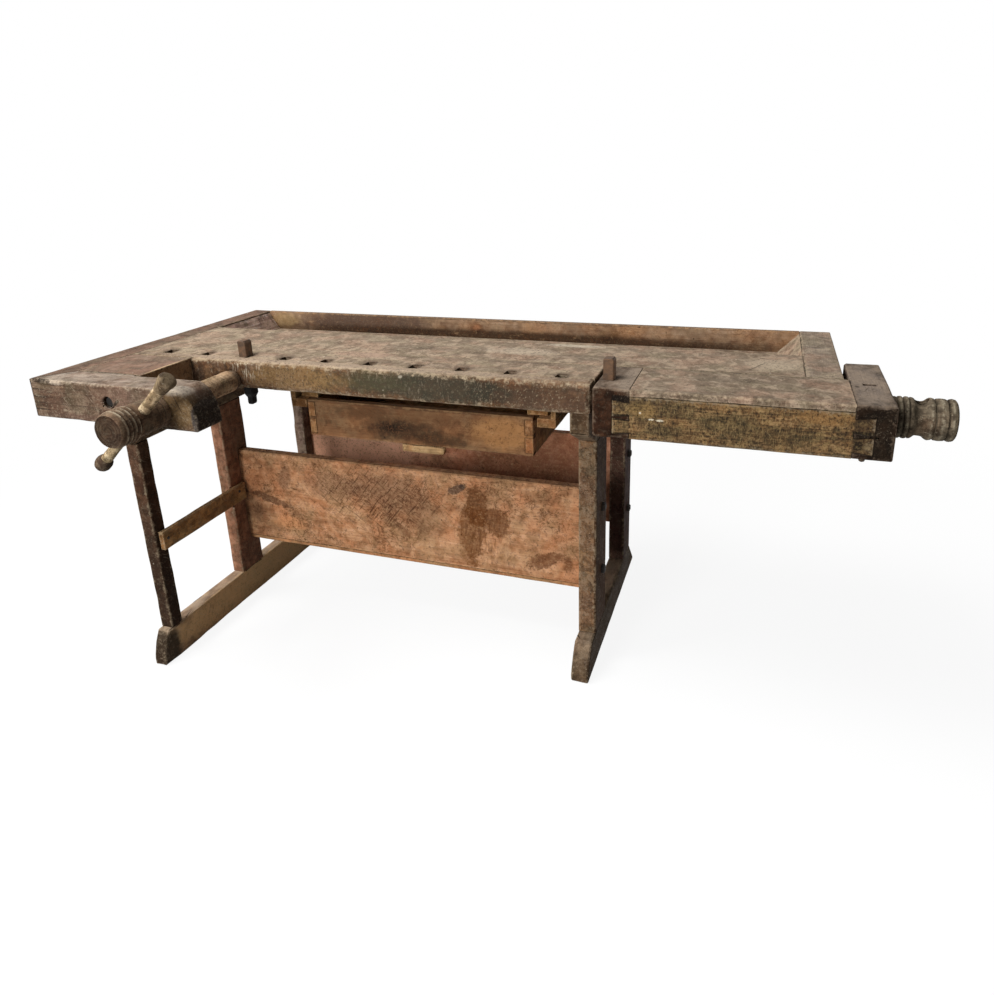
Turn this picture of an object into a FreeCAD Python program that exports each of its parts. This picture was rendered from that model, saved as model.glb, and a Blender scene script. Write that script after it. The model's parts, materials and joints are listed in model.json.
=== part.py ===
import FreeCAD, Part
import math
import os

from FreeCAD import Vector

# Sizes are in millimetres. X runs along the bench from its left end, Y runs back from the
# slab's front face and Z runs up from the floor. The finished pieces are moved so that the
# origin is at the middle of the bench's footprint, on the floor.

# Cuts run this far past the faces that they open
overrun = 10.0

# Bench top
bench_height = 800.0
top_length = 1814.0
top_depth = 609.0
slab_thickness = 73.0
front_slab_length = 1308.0
strip_face_depth = 40.0
strip_core_depth = 55.0
middle_plank_depth = 57.0
rear_plank_depth = 188.0
left_cap_width = 66.0
right_cap_width = 76.0
tongue_length = 18.0
tongue_thickness = 24.0

# Tool tray
tray_floor_thickness = 15.0
tray_rail_thickness = 14.0
left_ramp_run = 34.0
right_ramp_run = 52.0
ramp_height = 54.0

# Dog holes and dogs
first_dog_hole = 145.0
dog_hole_spacing = 120.5
dog_row_end_margin = 60.0
dog_hole_width = 25.0
dog_hole_depth = 30.0
dog_clearance = 0.5
dog_length = 171.0
dog_chamfer = 4.0
bench_dog_hole = 2
bench_dog_rise = 40.0
tail_dog_rise = 46.0

# Shoulder vise
arm_height = 96.0
arm_width = 84.0
arm_length = 480.0
arm_end_run = 52.0
arm_end_heel = 12.0
arm_end_top_radius = 36.0
vise_opening = 171.0
filler_length = 190.0
tie_bolt_inset = 22.0
tie_bolt_drop = 43.0
tie_bolt_diameter = 14.0
tie_bolt_reach = 26.0
tie_head_diameter = 24.0
tie_head_thickness = 9.0
tie_counterbore_diameter = 29.0
tie_counterbore_depth = 17.0
tie_nut_size = 22.0
tie_nut_thickness = 12.0
bolt_hole_clearance = 0.5
nut_pocket_clearance = 1.0

# Front screw, turned from one billet
front_screw_inset = 100.0
front_screw_drop = 51.0
screw_diameter = 54.0
screw_clearance = 0.3
front_hub_length = 138.0
front_hub_diameter = 82.0
front_hub_gap = 3.0
front_bar_hole_share = 0.44
pad_diameter = 50.0
pad_thickness = 13.0
pad_gap = 0.8
pad_pin_diameter = 20.0
pad_pin_length = 9.0

# Tommy bar
bar_angle = 43.0
bar_diameter = 26.0
bar_clearance = 0.5
bar_upper_reach = 112.0
bar_lower_reach = 148.0
knob_socket_depth = 22.0
upper_knob_diameter = 40.0
upper_knob_length = 42.0
lower_knob_diameter = 37.0
lower_knob_length = 38.0

# Tail vise
jaw_gap = 8.0
end_gap = 8.5
vise_overhang = 24.0
vise_height = 109.0
vise_side_clearance = 1.0
jaw_block_length = 78.0
end_block_length = 72.0
end_block_depth = 314.0
front_plank_thickness = 34.0
top_board_thickness = 15.0
lower_guide_depth = 58.0
lower_guide_thickness = 13.0
guide_rail_depth = 25.0
guide_rail_height = 34.0
guide_rail_drop = 34.0
guide_clearance = 0.5
nut_block_front_gap = 6.0
nut_block_drop = 3.0
nut_block_lift = 3.0
nut_tenon_length = 30.0
nut_tenon_thickness = 26.0
nut_tenon_height = 44.0

# Tail vise dovetails
vise_tail_count = 2
vise_tail_length = 36.0
vise_edge_pin = 13.0
vise_middle_pin = 10.0
vise_tail_flare = 3.5

# Tail screw and its garter key
screw_rail_gap = 5.0
tail_screw_reach_share = 0.66
tail_hub_gap = 1.0
tail_hub_length = 117.0
tail_hub_diameter = 86.0
tail_bar_hole_share = 0.46
garter_groove_width = 25.0
garter_groove_depth = 6.0
key_thickness = 12.0
key_top_width = 26.0
key_bottom_width = 12.0
key_recess = 4.0
key_tail = 36.0

# Trestles
left_trestle_x = 169.0
left_trestle_thickness = 37.0
right_trestle_inset = 13.0
right_trestle_thickness = 45.0
foot_height = 92.0
left_toe_reach = 27.0
left_toe_run = 30.0
right_toe_y = 40.0
right_toe_run = 44.0
toe_nose = 18.0
toe_bulge = 4.0
heel_overhang = 78.0
heel_nose = 12.0
post_inset = 17.0
post_width = 38.0
front_leg_y = 124.0
left_front_leg_width = 98.0
right_front_leg_width = 118.0
rear_leg_width = 98.0
bearer_height = 105.0
arm_seat_lap = 19.0
right_bearer_y = 40.0
right_bearer_nose = 62.0
leg_tenon_length = 46.0
leg_tenon_shoulder = 10.0
leg_tenon_share = 0.4

# Batten between the vise post and the left front leg
batten_thickness = 15.0
batten_height = 51.0
batten_z = 322.0
batten_front_lap = 26.0
batten_rear_lap = 46.0

# Stretchers and their coach screws
stretcher_thickness = 27.0
stretcher_height = 277.0
stretcher_z = 195.0
front_stretcher_setback = 54.0
stub_length = 14.0
stub_shoulder = 20.0
edge_strip_thickness = 11.0
edge_strip_inset = 2.0
coach_screw_diameter = 12.0
coach_screw_reach = 85.0
coach_screw_inset = 50.0
coach_head_size = 26.0
coach_head_height = 10.0

# Locating pegs between the bearers and the top
peg_size = 22.0
peg_depth_in_bearer = 40.0
peg_depth_in_slab = 35.0

# Drawer and its runners
drawer_left_gap = 346.0
drawer_right_gap = 92.0
drawer_front_y = 60.0
drawer_depth = 380.0
drawer_drop = 36.0
drawer_height = 97.0
drawer_front_thickness = 20.0
drawer_side_thickness = 20.0
drawer_back_thickness = 16.0
drawer_panel_thickness = 9.0
drawer_panel_lift = 7.0
drawer_groove_depth = 7.0
drawer_tail_count = 2
drawer_edge_pin = 10.0
drawer_middle_pin = 12.0
drawer_tail_flare = 3.0
cleat_thickness = 16.0
cleat_side_gap = 5.0
ledge_width = 45.0
ledge_thickness = 22.0
ledge_length = 420.0
left_ledge_gap = 2.0
right_ledge_gap = 10.0
ledge_top_gap = 0.5
spacer_width = 12.0
pull_offset = 16.0
pull_width = 116.0
pull_height = 22.0
pull_depth = 20.0

# Turned outlines: how far along and the radius there, as shares of length and largest radius
front_hub_profile_shares = [
    (0.00, 0.92),
    (0.60, 0.92),
    (0.63, 1.00),
    (1.00, 1.00),
]
tail_hub_profile_shares = [
    (0.00, 0.95),
    (0.26, 0.95),
    (0.29, 1.00),
    (0.34, 0.80),
    (0.58, 0.80),
    (0.62, 0.96),
    (0.85, 0.96),
    (0.87, 0.91),
    (0.90, 1.00),
    (1.00, 1.00),
]
knob_profile_shares = [
    (0.00, 0.80),
    (0.26, 1.00),
    (0.68, 1.00),
    (1.00, 0.54),
]

# Places worked out from the sizes
top_z = bench_height
slab_bottom = top_z - slab_thickness
arm_bottom = top_z - arm_height
arm_rear = -vise_opening
arm_front = arm_rear - arm_width
strip_core_y = strip_face_depth
middle_plank_y = strip_core_y + strip_core_depth
rear_plank_y = middle_plank_y + middle_plank_depth
tray_y = rear_plank_y + rear_plank_depth
tray_rail_y = top_depth - tray_rail_thickness
right_cap_x = top_length - right_cap_width
tray_floor_top = slab_bottom + tray_floor_thickness
dog_row_y = strip_core_y + dog_hole_depth / 2
dog_row_run = front_slab_length - dog_row_end_margin - first_dog_hole
dog_hole_count = int(dog_row_run // dog_hole_spacing) + 1
front_screw_x = arm_length - front_screw_inset
front_screw_z = top_z - front_screw_drop
tie_bolt_height = top_z - tie_bolt_drop
tie_bolt_x = left_cap_width + filler_length - tie_bolt_inset
tie_head_seat = arm_front + tie_counterbore_depth
tie_nut_y = strip_core_y + tie_bolt_reach - tie_nut_thickness
hub_inner_y = arm_front - front_hub_gap
hub_outer_y = hub_inner_y - front_hub_length
bar_y = hub_inner_y - front_hub_length * front_bar_hole_share
pad_front_y = -pad_gap
pad_back_y = pad_front_y - pad_thickness
screw_tip_y = pad_back_y - pad_gap
jaw_x = front_slab_length + jaw_gap
jaw_right_x = jaw_x + jaw_block_length
end_block_x = top_length + end_gap
end_block_right = end_block_x + end_block_length
tail_hub_x = end_block_right + tail_hub_gap
tail_hub_end = tail_hub_x + tail_hub_length
vise_front_y = -vise_overhang
vise_back_y = rear_plank_y - vise_side_clearance
vise_bottom = top_z - vise_height
plank_top = top_z - top_board_thickness
lower_guide_top = vise_bottom + lower_guide_thickness
nut_block_front = vise_front_y + front_plank_thickness + nut_block_front_gap
tail_screw_y = rear_plank_y - guide_rail_depth - screw_rail_gap - screw_diameter / 2
tail_screw_z = (plank_top + lower_guide_top) / 2
tail_screw_end = right_cap_x - tail_screw_reach_share * (right_cap_x - jaw_right_x)
garter_x = end_block_x + end_block_length / 2
key_y = tail_screw_y + screw_diameter / 2 - garter_groove_depth + screw_clearance
left_inner_x = left_trestle_x + left_trestle_thickness
right_outer_x = front_slab_length - right_trestle_inset
right_trestle_x = right_outer_x - right_trestle_thickness
left_bearer_y = arm_rear - arm_seat_lap
left_toe_y = left_bearer_y - left_toe_reach
post_y = left_bearer_y + post_inset
bearer_bottom = slab_bottom - bearer_height
rear_leg_y = top_depth - rear_leg_width
heel_y = top_depth + heel_overhang
front_stretcher_y = front_leg_y + front_stretcher_setback
rear_stretcher_y = rear_leg_y + (rear_leg_width - stretcher_thickness) / 2
drawer_top = slab_bottom - drawer_drop
drawer_bottom_z = drawer_top - drawer_height
drawer_x = left_inner_x + drawer_left_gap
drawer_right_x = right_trestle_x - drawer_right_gap
drawer_back_y = drawer_front_y + drawer_depth
cleat_overhang = left_ledge_gap + ledge_width - spacer_width - cleat_side_gap
ledge_top = drawer_top - ledge_top_gap
footprint_middle = Vector(tail_hub_end / 2, (hub_outer_y + heel_y) / 2, 0)

along_x = Vector(1, 0, 0)
along_y = Vector(0, 1, 0)
along_z = Vector(0, 0, 1)

pieces = {}


def span(start, length):
    return (start, start + length)


def box(x, y, z):
    """A block between two values along each axis."""
    corner = Vector(x[0], y[0], z[0])
    return Part.makeBox(x[1] - x[0], y[1] - y[0], z[1] - z[0], corner)


def rod(start, axis, length, diameter):
    return Part.makeCylinder(diameter / 2, length, start, axis)


def prism(points, sweep):
    """A flat outline of straight edges, swept along a vector."""
    wire = Part.makePolygon(points + points[:1])
    return Part.Face(wire).extrude(sweep)


def swept(edges, sweep):
    """A flat outline given as edges, swept along a vector."""
    return Part.Face(Part.Wire(edges)).extrude(sweep)


def line(start, end):
    return Part.LineSegment(start, end).toShape()


def joined(first, *others):
    return first.fuse(list(others)).removeSplitter()


def turned(rows, base, axis, side, length, radius):
    """A lathe-turned solid from a table of shares along and across its axis."""
    outline = [base + axis * (along * length) + side * (out * radius) for along, out in rows]
    outline += [base + axis * length, base, outline[0]]
    return Part.Face(Part.makePolygon(outline)).revolve(base, axis, 360)


def dovetails(root, outward, across, height, thickness, length, count, edge_pin, middle_pin, flare):
    """Tails that grow wider from the board's shoulder to its end."""
    width = (height - 2 * edge_pin - (count - 1) * middle_pin) / count
    tails = []
    for index in range(count):
        low = edge_pin + index * (width + middle_pin)
        narrow = [root + along_z * low, root + along_z * (low + width)]
        end = root + outward * length
        wide = [end + along_z * (low + width + flare), end + along_z * (low - flare)]
        tails.append(prism(narrow + wide, across * thickness))
    return tails


def plank_with_tongue(x, y, left_tongue, right_tongue):
    """A top plank whose ends run into the end caps' grooves."""
    plank = box(x, y, (slab_bottom, top_z))
    if left_tongue:
        plank = joined(plank, tongue((x[0] - tongue_length, x[0]), y))
    if right_tongue:
        plank = joined(plank, tongue((x[1], x[1] + tongue_length), y))
    return plank


def tongue(x, y):
    low = slab_bottom + (slab_thickness - tongue_thickness) / 2
    return box(x, y, span(low, tongue_thickness))


def tie_bolt_hole():
    start = Vector(tie_bolt_x, arm_front - overrun, tie_bolt_height)
    length = strip_core_y + tie_bolt_reach - arm_front + overrun
    diameter = tie_bolt_diameter + 2 * bolt_hole_clearance
    counterbore = tie_counterbore_depth + overrun
    return rod(start, along_y, length, diameter).fuse(
        rod(start, along_y, counterbore, tie_counterbore_diameter))


def tie_nut_pocket():
    half = tie_nut_size / 2 + nut_pocket_clearance
    y = span(tie_nut_y, tie_nut_thickness + nut_pocket_clearance)
    x = (tie_bolt_x - half, tie_bolt_x + half)
    return box(x, y, (slab_bottom - overrun, tie_bolt_height + half))


def peg_places():
    for x in (left_trestle_x + left_trestle_thickness / 2,
              right_trestle_x + right_trestle_thickness / 2):
        for y in (middle_plank_y + middle_plank_depth / 2, rear_plank_y + rear_plank_depth / 2):
            yield Vector(x, y, slab_bottom - peg_depth_in_bearer)


def pegs():
    """Square pegs, half in the bearers and half in the slab."""
    half = peg_size / 2
    blocks = []
    for place in peg_places():
        blocks.append(box((place.x - half, place.x + half), (place.y - half, place.y + half),
                          span(place.z, peg_depth_in_bearer + peg_depth_in_slab)))
    return blocks


def make_bench_top():
    front_x = (left_cap_width, front_slab_length)
    full_x = (left_cap_width, right_cap_x)
    face = plank_with_tongue(front_x, span(0, strip_face_depth), True, False)
    pieces["dog_strip_face"] = face.cut(tie_bolt_hole())

    core = plank_with_tongue(front_x, span(strip_core_y, strip_core_depth), True, False)
    for index in range(dog_hole_count):
        middle = first_dog_hole + index * dog_hole_spacing
        x = (middle - dog_hole_width / 2, middle + dog_hole_width / 2)
        y = (strip_core_y - overrun, strip_core_y + dog_hole_depth)
        core = core.cut(box(x, y, (slab_bottom - overrun, top_z + overrun)))
    pieces["dog_strip_core"] = core.cut([tie_bolt_hole(), tie_nut_pocket()])

    middle_plank = plank_with_tongue(front_x, span(middle_plank_y, middle_plank_depth), True, False)
    pieces["slab_middle_plank"] = middle_plank.cut(pegs())
    rear_plank = plank_with_tongue(full_x, span(rear_plank_y, rear_plank_depth), True, True)
    pieces["slab_rear_plank"] = rear_plank.cut(pegs())

    tray = (tray_y, tray_rail_y)
    pieces["tray_floor"] = box(full_x, tray, (slab_bottom, tray_floor_top))
    pieces["tray_back_rail"] = box(full_x, (tray_rail_y, top_depth), (slab_bottom, top_z))
    for name, foot_x, run in (("tray_left_ramp", full_x[0], left_ramp_run),
                              ("tray_right_ramp", full_x[1], -right_ramp_run)):
        outline = [Vector(foot_x, tray_y, tray_floor_top),
                   Vector(foot_x + run, tray_y, tray_floor_top),
                   Vector(foot_x, tray_y, tray_floor_top + ramp_height)]
        pieces[name] = prism(outline, along_y * (tray_rail_y - tray_y))

    left_cap = box((0, left_cap_width), (arm_front, top_depth), (arm_bottom, top_z))
    mitre = [Vector(0, arm_front, arm_bottom - overrun),
             Vector(left_cap_width, arm_rear, arm_bottom - overrun),
             Vector(left_cap_width, arm_front, arm_bottom - overrun)]
    groove = tongue((left_cap_width - tongue_length, left_cap_width), (0, tray_y))
    rise = along_z * (arm_height + 2 * overrun)
    pieces["left_end_cap"] = left_cap.cut([prism(mitre, rise), groove])

    right_cap = box((right_cap_x, top_length), (rear_plank_y, top_depth), (slab_bottom, top_z))
    groove = tongue(span(right_cap_x, tongue_length), (rear_plank_y, tray_y))
    pieces["right_end_cap"] = right_cap.cut([groove, nut_block_tenon()])
    pieces["top_pegs"] = Part.makeCompound(pegs())


def arm_nose(heel, shoulder, crown):
    """Two arcs that meet in line: a tight one off the top face, a wide one down to the heel."""
    wide_radius = (arm_end_run ** 2 + crown ** 2 - 2 * crown * arm_end_top_radius) / (
        2 * (arm_end_run - arm_end_top_radius))
    tight_middle = shoulder - along_z * arm_end_top_radius
    wide_middle = heel - along_x * wide_radius
    out = (tight_middle - wide_middle).normalize()
    meeting = tight_middle + out * arm_end_top_radius
    wide_crest = wide_middle + (out + along_x).normalize() * wide_radius
    tight_crest = tight_middle + (out + along_z).normalize() * arm_end_top_radius
    return [Part.Arc(heel, wide_crest, meeting).toShape(),
            Part.Arc(meeting, tight_crest, shoulder).toShape()]


def make_shoulder_vise():
    crown = arm_height - arm_end_heel
    shoulder_x = arm_length - arm_end_run
    heel_z = arm_bottom + arm_end_heel
    corners = [Vector(shoulder_x, arm_front, top_z), Vector(0, arm_front, top_z),
               Vector(0, arm_front, arm_bottom), Vector(arm_length, arm_front, arm_bottom),
               Vector(arm_length, arm_front, heel_z)]
    edges = [line(start, end) for start, end in zip(corners, corners[1:])]
    edges += arm_nose(corners[-1], corners[0], crown)
    arm = swept(edges, along_y * arm_width)
    mitre = [Vector(0, arm_front, arm_bottom - overrun),
             Vector(left_cap_width, arm_rear, arm_bottom - overrun),
             Vector(0, arm_rear, arm_bottom - overrun)]
    bore = rod(Vector(front_screw_x, arm_front - overrun, front_screw_z), along_y,
               arm_width + 2 * overrun, screw_diameter + 2 * screw_clearance)
    rise = along_z * (arm_height + 2 * overrun)
    pieces["vise_arm"] = arm.cut([prism(mitre, rise), bore, tie_bolt_hole()])

    filler = box(span(left_cap_width, filler_length), (arm_rear, 0), (arm_bottom, top_z))
    pieces["vise_filler_block"] = filler.cut(tie_bolt_hole())

    head = Vector(tie_bolt_x, tie_head_seat - tie_head_thickness, tie_bolt_height)
    shank = Vector(tie_bolt_x, tie_head_seat, tie_bolt_height)
    reach = strip_core_y + tie_bolt_reach - tie_head_seat
    pieces["arm_tie_bolt"] = joined(rod(head, along_y, tie_head_thickness, tie_head_diameter),
                                    rod(shank, along_y, reach, tie_bolt_diameter))
    half = tie_nut_size / 2
    nut = box((tie_bolt_x - half, tie_bolt_x + half), span(tie_nut_y, tie_nut_thickness),
              (tie_bolt_height - half, tie_bolt_height + half))
    pieces["arm_tie_nut"] = nut.cut(pieces["arm_tie_bolt"])


def make_front_screw():
    axis_point = Vector(front_screw_x, 0, front_screw_z)
    hub_root = axis_point + along_y * hub_inner_y
    hub = turned(front_hub_profile_shares, hub_root, -along_y, along_z, front_hub_length,
                 front_hub_diameter / 2)
    shaft = rod(hub_root, along_y, screw_tip_y - hub_inner_y, screw_diameter)
    pin = rod(axis_point + along_y * screw_tip_y, along_y, pad_pin_length, pad_pin_diameter)
    slope = math.radians(bar_angle)
    bar_axis = Vector(math.cos(slope), 0, math.sin(slope))
    bar_middle = axis_point + along_y * bar_y
    hole = rod(bar_middle - bar_axis * front_hub_diameter, bar_axis, 2 * front_hub_diameter,
               bar_diameter + 2 * bar_clearance)
    pieces["front_screw"] = joined(hub, shaft, pin).cut(hole)

    pad = rod(axis_point + along_y * pad_back_y, along_y, pad_thickness, pad_diameter)
    socket = rod(axis_point + along_y * (pad_back_y - overrun), along_y, overrun + pad_pin_length,
                 pad_pin_diameter + 2 * screw_clearance)
    pieces["nose_pad"] = pad.cut(socket)

    upper_knob = bar_middle + bar_axis * bar_upper_reach
    lower_knob = bar_middle - bar_axis * bar_lower_reach
    bar_length = bar_upper_reach + bar_lower_reach + 2 * knob_socket_depth
    bar = rod(lower_knob - bar_axis * knob_socket_depth, bar_axis, bar_length, bar_diameter)
    pieces["tommy_bar"] = bar
    upper = turned(knob_profile_shares, upper_knob, bar_axis, along_y, upper_knob_length,
                   upper_knob_diameter / 2)
    lower = turned(knob_profile_shares, lower_knob, -bar_axis, along_y, lower_knob_length,
                   lower_knob_diameter / 2)
    pieces["tommy_knobs"] = Part.makeCompound([upper.cut(bar), lower.cut(bar)])


def guide_rail(clearance):
    z = top_z - guide_rail_drop + clearance
    depth = rear_plank_y - guide_rail_depth - clearance
    return box((front_slab_length, right_cap_x), (depth, rear_plank_y),
               (z - guide_rail_height - 2 * clearance, z))


def nut_block_tenon():
    x = right_cap_x + (right_cap_width - nut_tenon_thickness) / 2
    z = tail_screw_z - nut_tenon_height / 2
    return box(span(x, nut_tenon_thickness), span(rear_plank_y, nut_tenon_length),
               span(z, nut_tenon_height))


def tail_bore(x, length):
    start = Vector(x, tail_screw_y, tail_screw_z)
    return rod(start, along_x, length, screw_diameter + 2 * screw_clearance)


def garter_key():
    bottom = vise_bottom - key_tail
    top = top_z - key_recess
    outline = [Vector(garter_x - key_bottom_width / 2, key_y, bottom),
               Vector(garter_x + key_bottom_width / 2, key_y, bottom),
               Vector(garter_x + key_top_width / 2, key_y, top),
               Vector(garter_x - key_top_width / 2, key_y, top)]
    return prism(outline, along_y * key_thickness)


def key_mortise():
    recess = box((garter_x - key_top_width / 2, garter_x + key_top_width / 2),
                 span(key_y, key_thickness), (top_z - key_recess, top_z + overrun))
    return garter_key().fuse(recess)


def make_tail_vise():
    shape = (vise_tail_count, vise_edge_pin, vise_middle_pin, vise_tail_flare)
    plank_height = plank_top - vise_bottom
    left_root = Vector(jaw_right_x, vise_front_y, vise_bottom)
    right_root = Vector(end_block_x, vise_front_y, vise_bottom)
    tails = dovetails(left_root, -along_x, along_y, plank_height, front_plank_thickness,
                      vise_tail_length, *shape)
    tails += dovetails(right_root, along_x, along_y, plank_height, front_plank_thickness,
                       vise_tail_length, *shape)
    run = (jaw_right_x, end_block_x)
    body_y = (vise_front_y, vise_back_y)
    plank = box(run, span(vise_front_y, front_plank_thickness), (vise_bottom, plank_top))
    pieces["tail_front_plank"] = joined(plank, *tails)

    dog_x = jaw_x + (jaw_block_length - vise_tail_length) / 2
    dog_hole = box((dog_x - dog_hole_width / 2, dog_x + dog_hole_width / 2),
                   span(strip_core_y, dog_hole_depth), (vise_bottom - overrun, top_z + overrun))
    jaw = box(span(jaw_x, jaw_block_length), body_y, (vise_bottom, top_z))
    pieces["tail_jaw_block"] = jaw.cut(tails + [dog_hole, guide_rail(guide_clearance)])

    end_y = span(vise_front_y, end_block_depth)
    end_block = box(span(end_block_x, end_block_length), end_y, (vise_bottom, top_z))
    bore = tail_bore(end_block_x - overrun, end_block_length + 2 * overrun)
    pieces["tail_end_block"] = end_block.cut(tails + [bore, key_mortise()])

    pieces["tail_top_board"] = box(run, body_y, (plank_top, top_z))
    guide_y = (vise_back_y - lower_guide_depth, vise_back_y)
    pieces["tail_lower_guide"] = box(run, guide_y, (vise_bottom, lower_guide_top))
    pieces["garter_key"] = garter_key()
    pieces["tail_guide_rail"] = guide_rail(0)

    nut = box((right_cap_x, top_length), (nut_block_front, rear_plank_y),
              (lower_guide_top + nut_block_lift, plank_top - nut_block_drop))
    bore = tail_bore(right_cap_x - overrun, right_cap_width + 2 * overrun)
    pieces["tail_nut_block"] = joined(nut, nut_block_tenon()).cut(bore)

    axis_point = Vector(tail_hub_x, tail_screw_y, tail_screw_z)
    hub = turned(tail_hub_profile_shares, axis_point, along_x, along_z, tail_hub_length,
                 tail_hub_diameter / 2)
    shaft = rod(axis_point, -along_x, tail_hub_x - tail_screw_end, screw_diameter)
    groove_start = Vector(garter_x - garter_groove_width / 2, tail_screw_y, tail_screw_z)
    groove = rod(groove_start, along_x, garter_groove_width, screw_diameter + overrun)
    neck = rod(groove_start, along_x, garter_groove_width, screw_diameter - 2 * garter_groove_depth)
    hole_start = axis_point + along_x * (tail_hub_length * tail_bar_hole_share)
    hole = rod(hole_start - along_z * tail_hub_diameter, along_z, 2 * tail_hub_diameter,
               bar_diameter + 2 * bar_clearance)
    pieces["tail_screw"] = joined(hub, shaft).cut(groove.cut(neck)).cut(hole)
    pieces["tail_dog"] = dog(dog_x, tail_dog_rise)


def dog(x, rise):
    """A square iron dog with bevelled ends, standing in a dog hole."""
    half_x = dog_hole_width / 2 - dog_clearance
    half_y = dog_hole_depth / 2 - dog_clearance
    top = top_z + rise
    low = top - dog_length
    outline = [Vector(x - half_x, dog_row_y - half_y, low + dog_chamfer),
               Vector(x - half_x + dog_chamfer, dog_row_y - half_y, low),
               Vector(x + half_x - dog_chamfer, dog_row_y - half_y, low),
               Vector(x + half_x, dog_row_y - half_y, low + dog_chamfer),
               Vector(x + half_x, dog_row_y - half_y, top - dog_chamfer),
               Vector(x + half_x - dog_chamfer, dog_row_y - half_y, top),
               Vector(x - half_x, dog_row_y - half_y, top)]
    return prism(outline, along_y * (2 * half_y))


def leg_tenon(x, y, z):
    """The tenon of a leg: a share of its thickness, set in by a shoulder across its width."""
    thickness = (x[1] - x[0]) * leg_tenon_share
    low_x = (x[0] + x[1] - thickness) / 2
    return box(span(low_x, thickness), (y[0] + leg_tenon_shoulder, y[1] - leg_tenon_shoulder), z)


def leg_tenons(x, y):
    return [leg_tenon(x, y, (foot_height - leg_tenon_length, foot_height)),
            leg_tenon(x, y, span(bearer_bottom, leg_tenon_length))]


def foot(x, toe_y, toe_run):
    """A sledge foot with a rounded toe and a sloping heel."""
    toe_top = Vector(x[0], toe_y + toe_run, foot_height)
    toe_low = Vector(x[0], toe_y, toe_nose)
    outward = Vector(0, toe_nose - foot_height, toe_run).normalize()
    crest = (toe_top + toe_low) * 0.5 + outward * toe_bulge
    corners = [toe_low, Vector(x[0], toe_y, 0), Vector(x[0], heel_y, 0),
               Vector(x[0], heel_y, heel_nose), Vector(x[0], top_depth, foot_height), toe_top]
    edges = [line(start, end) for start, end in zip(corners, corners[1:])]
    edges.append(Part.Arc(toe_top, crest, toe_low).toShape())
    return swept(edges, along_x * (x[1] - x[0]))


def stretchers():
    """Each stretcher board's place across the bench, front one first."""
    return (span(front_stretcher_y, stretcher_thickness), span(rear_stretcher_y, stretcher_thickness))


def stretcher_stubs():
    z = (stretcher_z + stub_shoulder, stretcher_z + stretcher_height - stub_shoulder)
    stubs = []
    for y in stretchers():
        stubs.append(box((left_inner_x - stub_length, left_inner_x), y, z))
        stubs.append(box(span(right_trestle_x, stub_length), y, z))
    return stubs


def coach_screw_places():
    """Where each head seats, which way the screw runs, and the leg thickness under its head."""
    heights = (stretcher_z + coach_screw_inset, stretcher_z + stretcher_height - coach_screw_inset)
    for y in stretchers():
        middle = (y[0] + y[1]) / 2
        for z in heights:
            yield Vector(left_trestle_x, middle, z), along_x, left_trestle_thickness
            yield Vector(right_outer_x, middle, z), -along_x, right_trestle_thickness


def coach_screw_shanks():
    return [rod(seat, inward, leg + coach_screw_reach, coach_screw_diameter)
            for seat, inward, leg in coach_screw_places()]


def coach_screw_heads():
    half = coach_head_size / 2
    heads = []
    for seat, inward, leg in coach_screw_places():
        crown_x = seat.x - inward.x * coach_head_height
        heads.append(box((min(seat.x, crown_x), max(seat.x, crown_x)),
                         (seat.y - half, seat.y + half), (seat.z - half, seat.z + half)))
    return heads


def make_trestles():
    left_x = span(left_trestle_x, left_trestle_thickness)
    right_x = span(right_trestle_x, right_trestle_thickness)
    rear = span(rear_leg_y, rear_leg_width)
    left_legs = {"left_vise_post": span(post_y, post_width),
                 "left_front_leg": span(front_leg_y, left_front_leg_width),
                 "left_rear_leg": rear}
    right_legs = {"right_front_leg": span(front_leg_y, right_front_leg_width), "right_rear_leg": rear}
    cuts = stretcher_stubs() + coach_screw_shanks()

    left_bearer = box(left_x, (left_bearer_y, top_depth), (bearer_bottom, slab_bottom))
    arm_notch = box(left_x, (left_bearer_y - overrun, 0), (arm_bottom, slab_bottom + overrun))
    nose_z = slab_bottom - right_bearer_nose
    right_outline = [Vector(right_x[0], right_bearer_y, slab_bottom),
                     Vector(right_x[0], right_bearer_y, nose_z),
                     Vector(right_x[0], front_leg_y, bearer_bottom),
                     Vector(right_x[0], top_depth, bearer_bottom),
                     Vector(right_x[0], top_depth, slab_bottom)]
    right_bearer = prism(right_outline, along_x * right_trestle_thickness)
    for side, x, legs, toe, bearer in (
            ("left", left_x, left_legs, (left_toe_y, left_toe_run), left_bearer.cut(arm_notch)),
            ("right", right_x, right_legs, (right_toe_y, right_toe_run), right_bearer)):
        tenons = []
        for name, y in legs.items():
            tenons += leg_tenons(x, y)
            leg = joined(box(x, y, (foot_height, bearer_bottom)), *leg_tenons(x, y))
            pieces[name] = leg.cut(cuts)
        pieces[side + "_foot"] = foot(x, *toe).cut(tenons)
        pieces[side + "_bearer"] = bearer.cut(tenons + pegs())

    batten_y = (post_y + post_width - batten_front_lap, front_leg_y + batten_rear_lap)
    pieces["left_batten"] = box(span(left_inner_x, batten_thickness), batten_y,
                                span(batten_z, batten_height))


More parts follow.
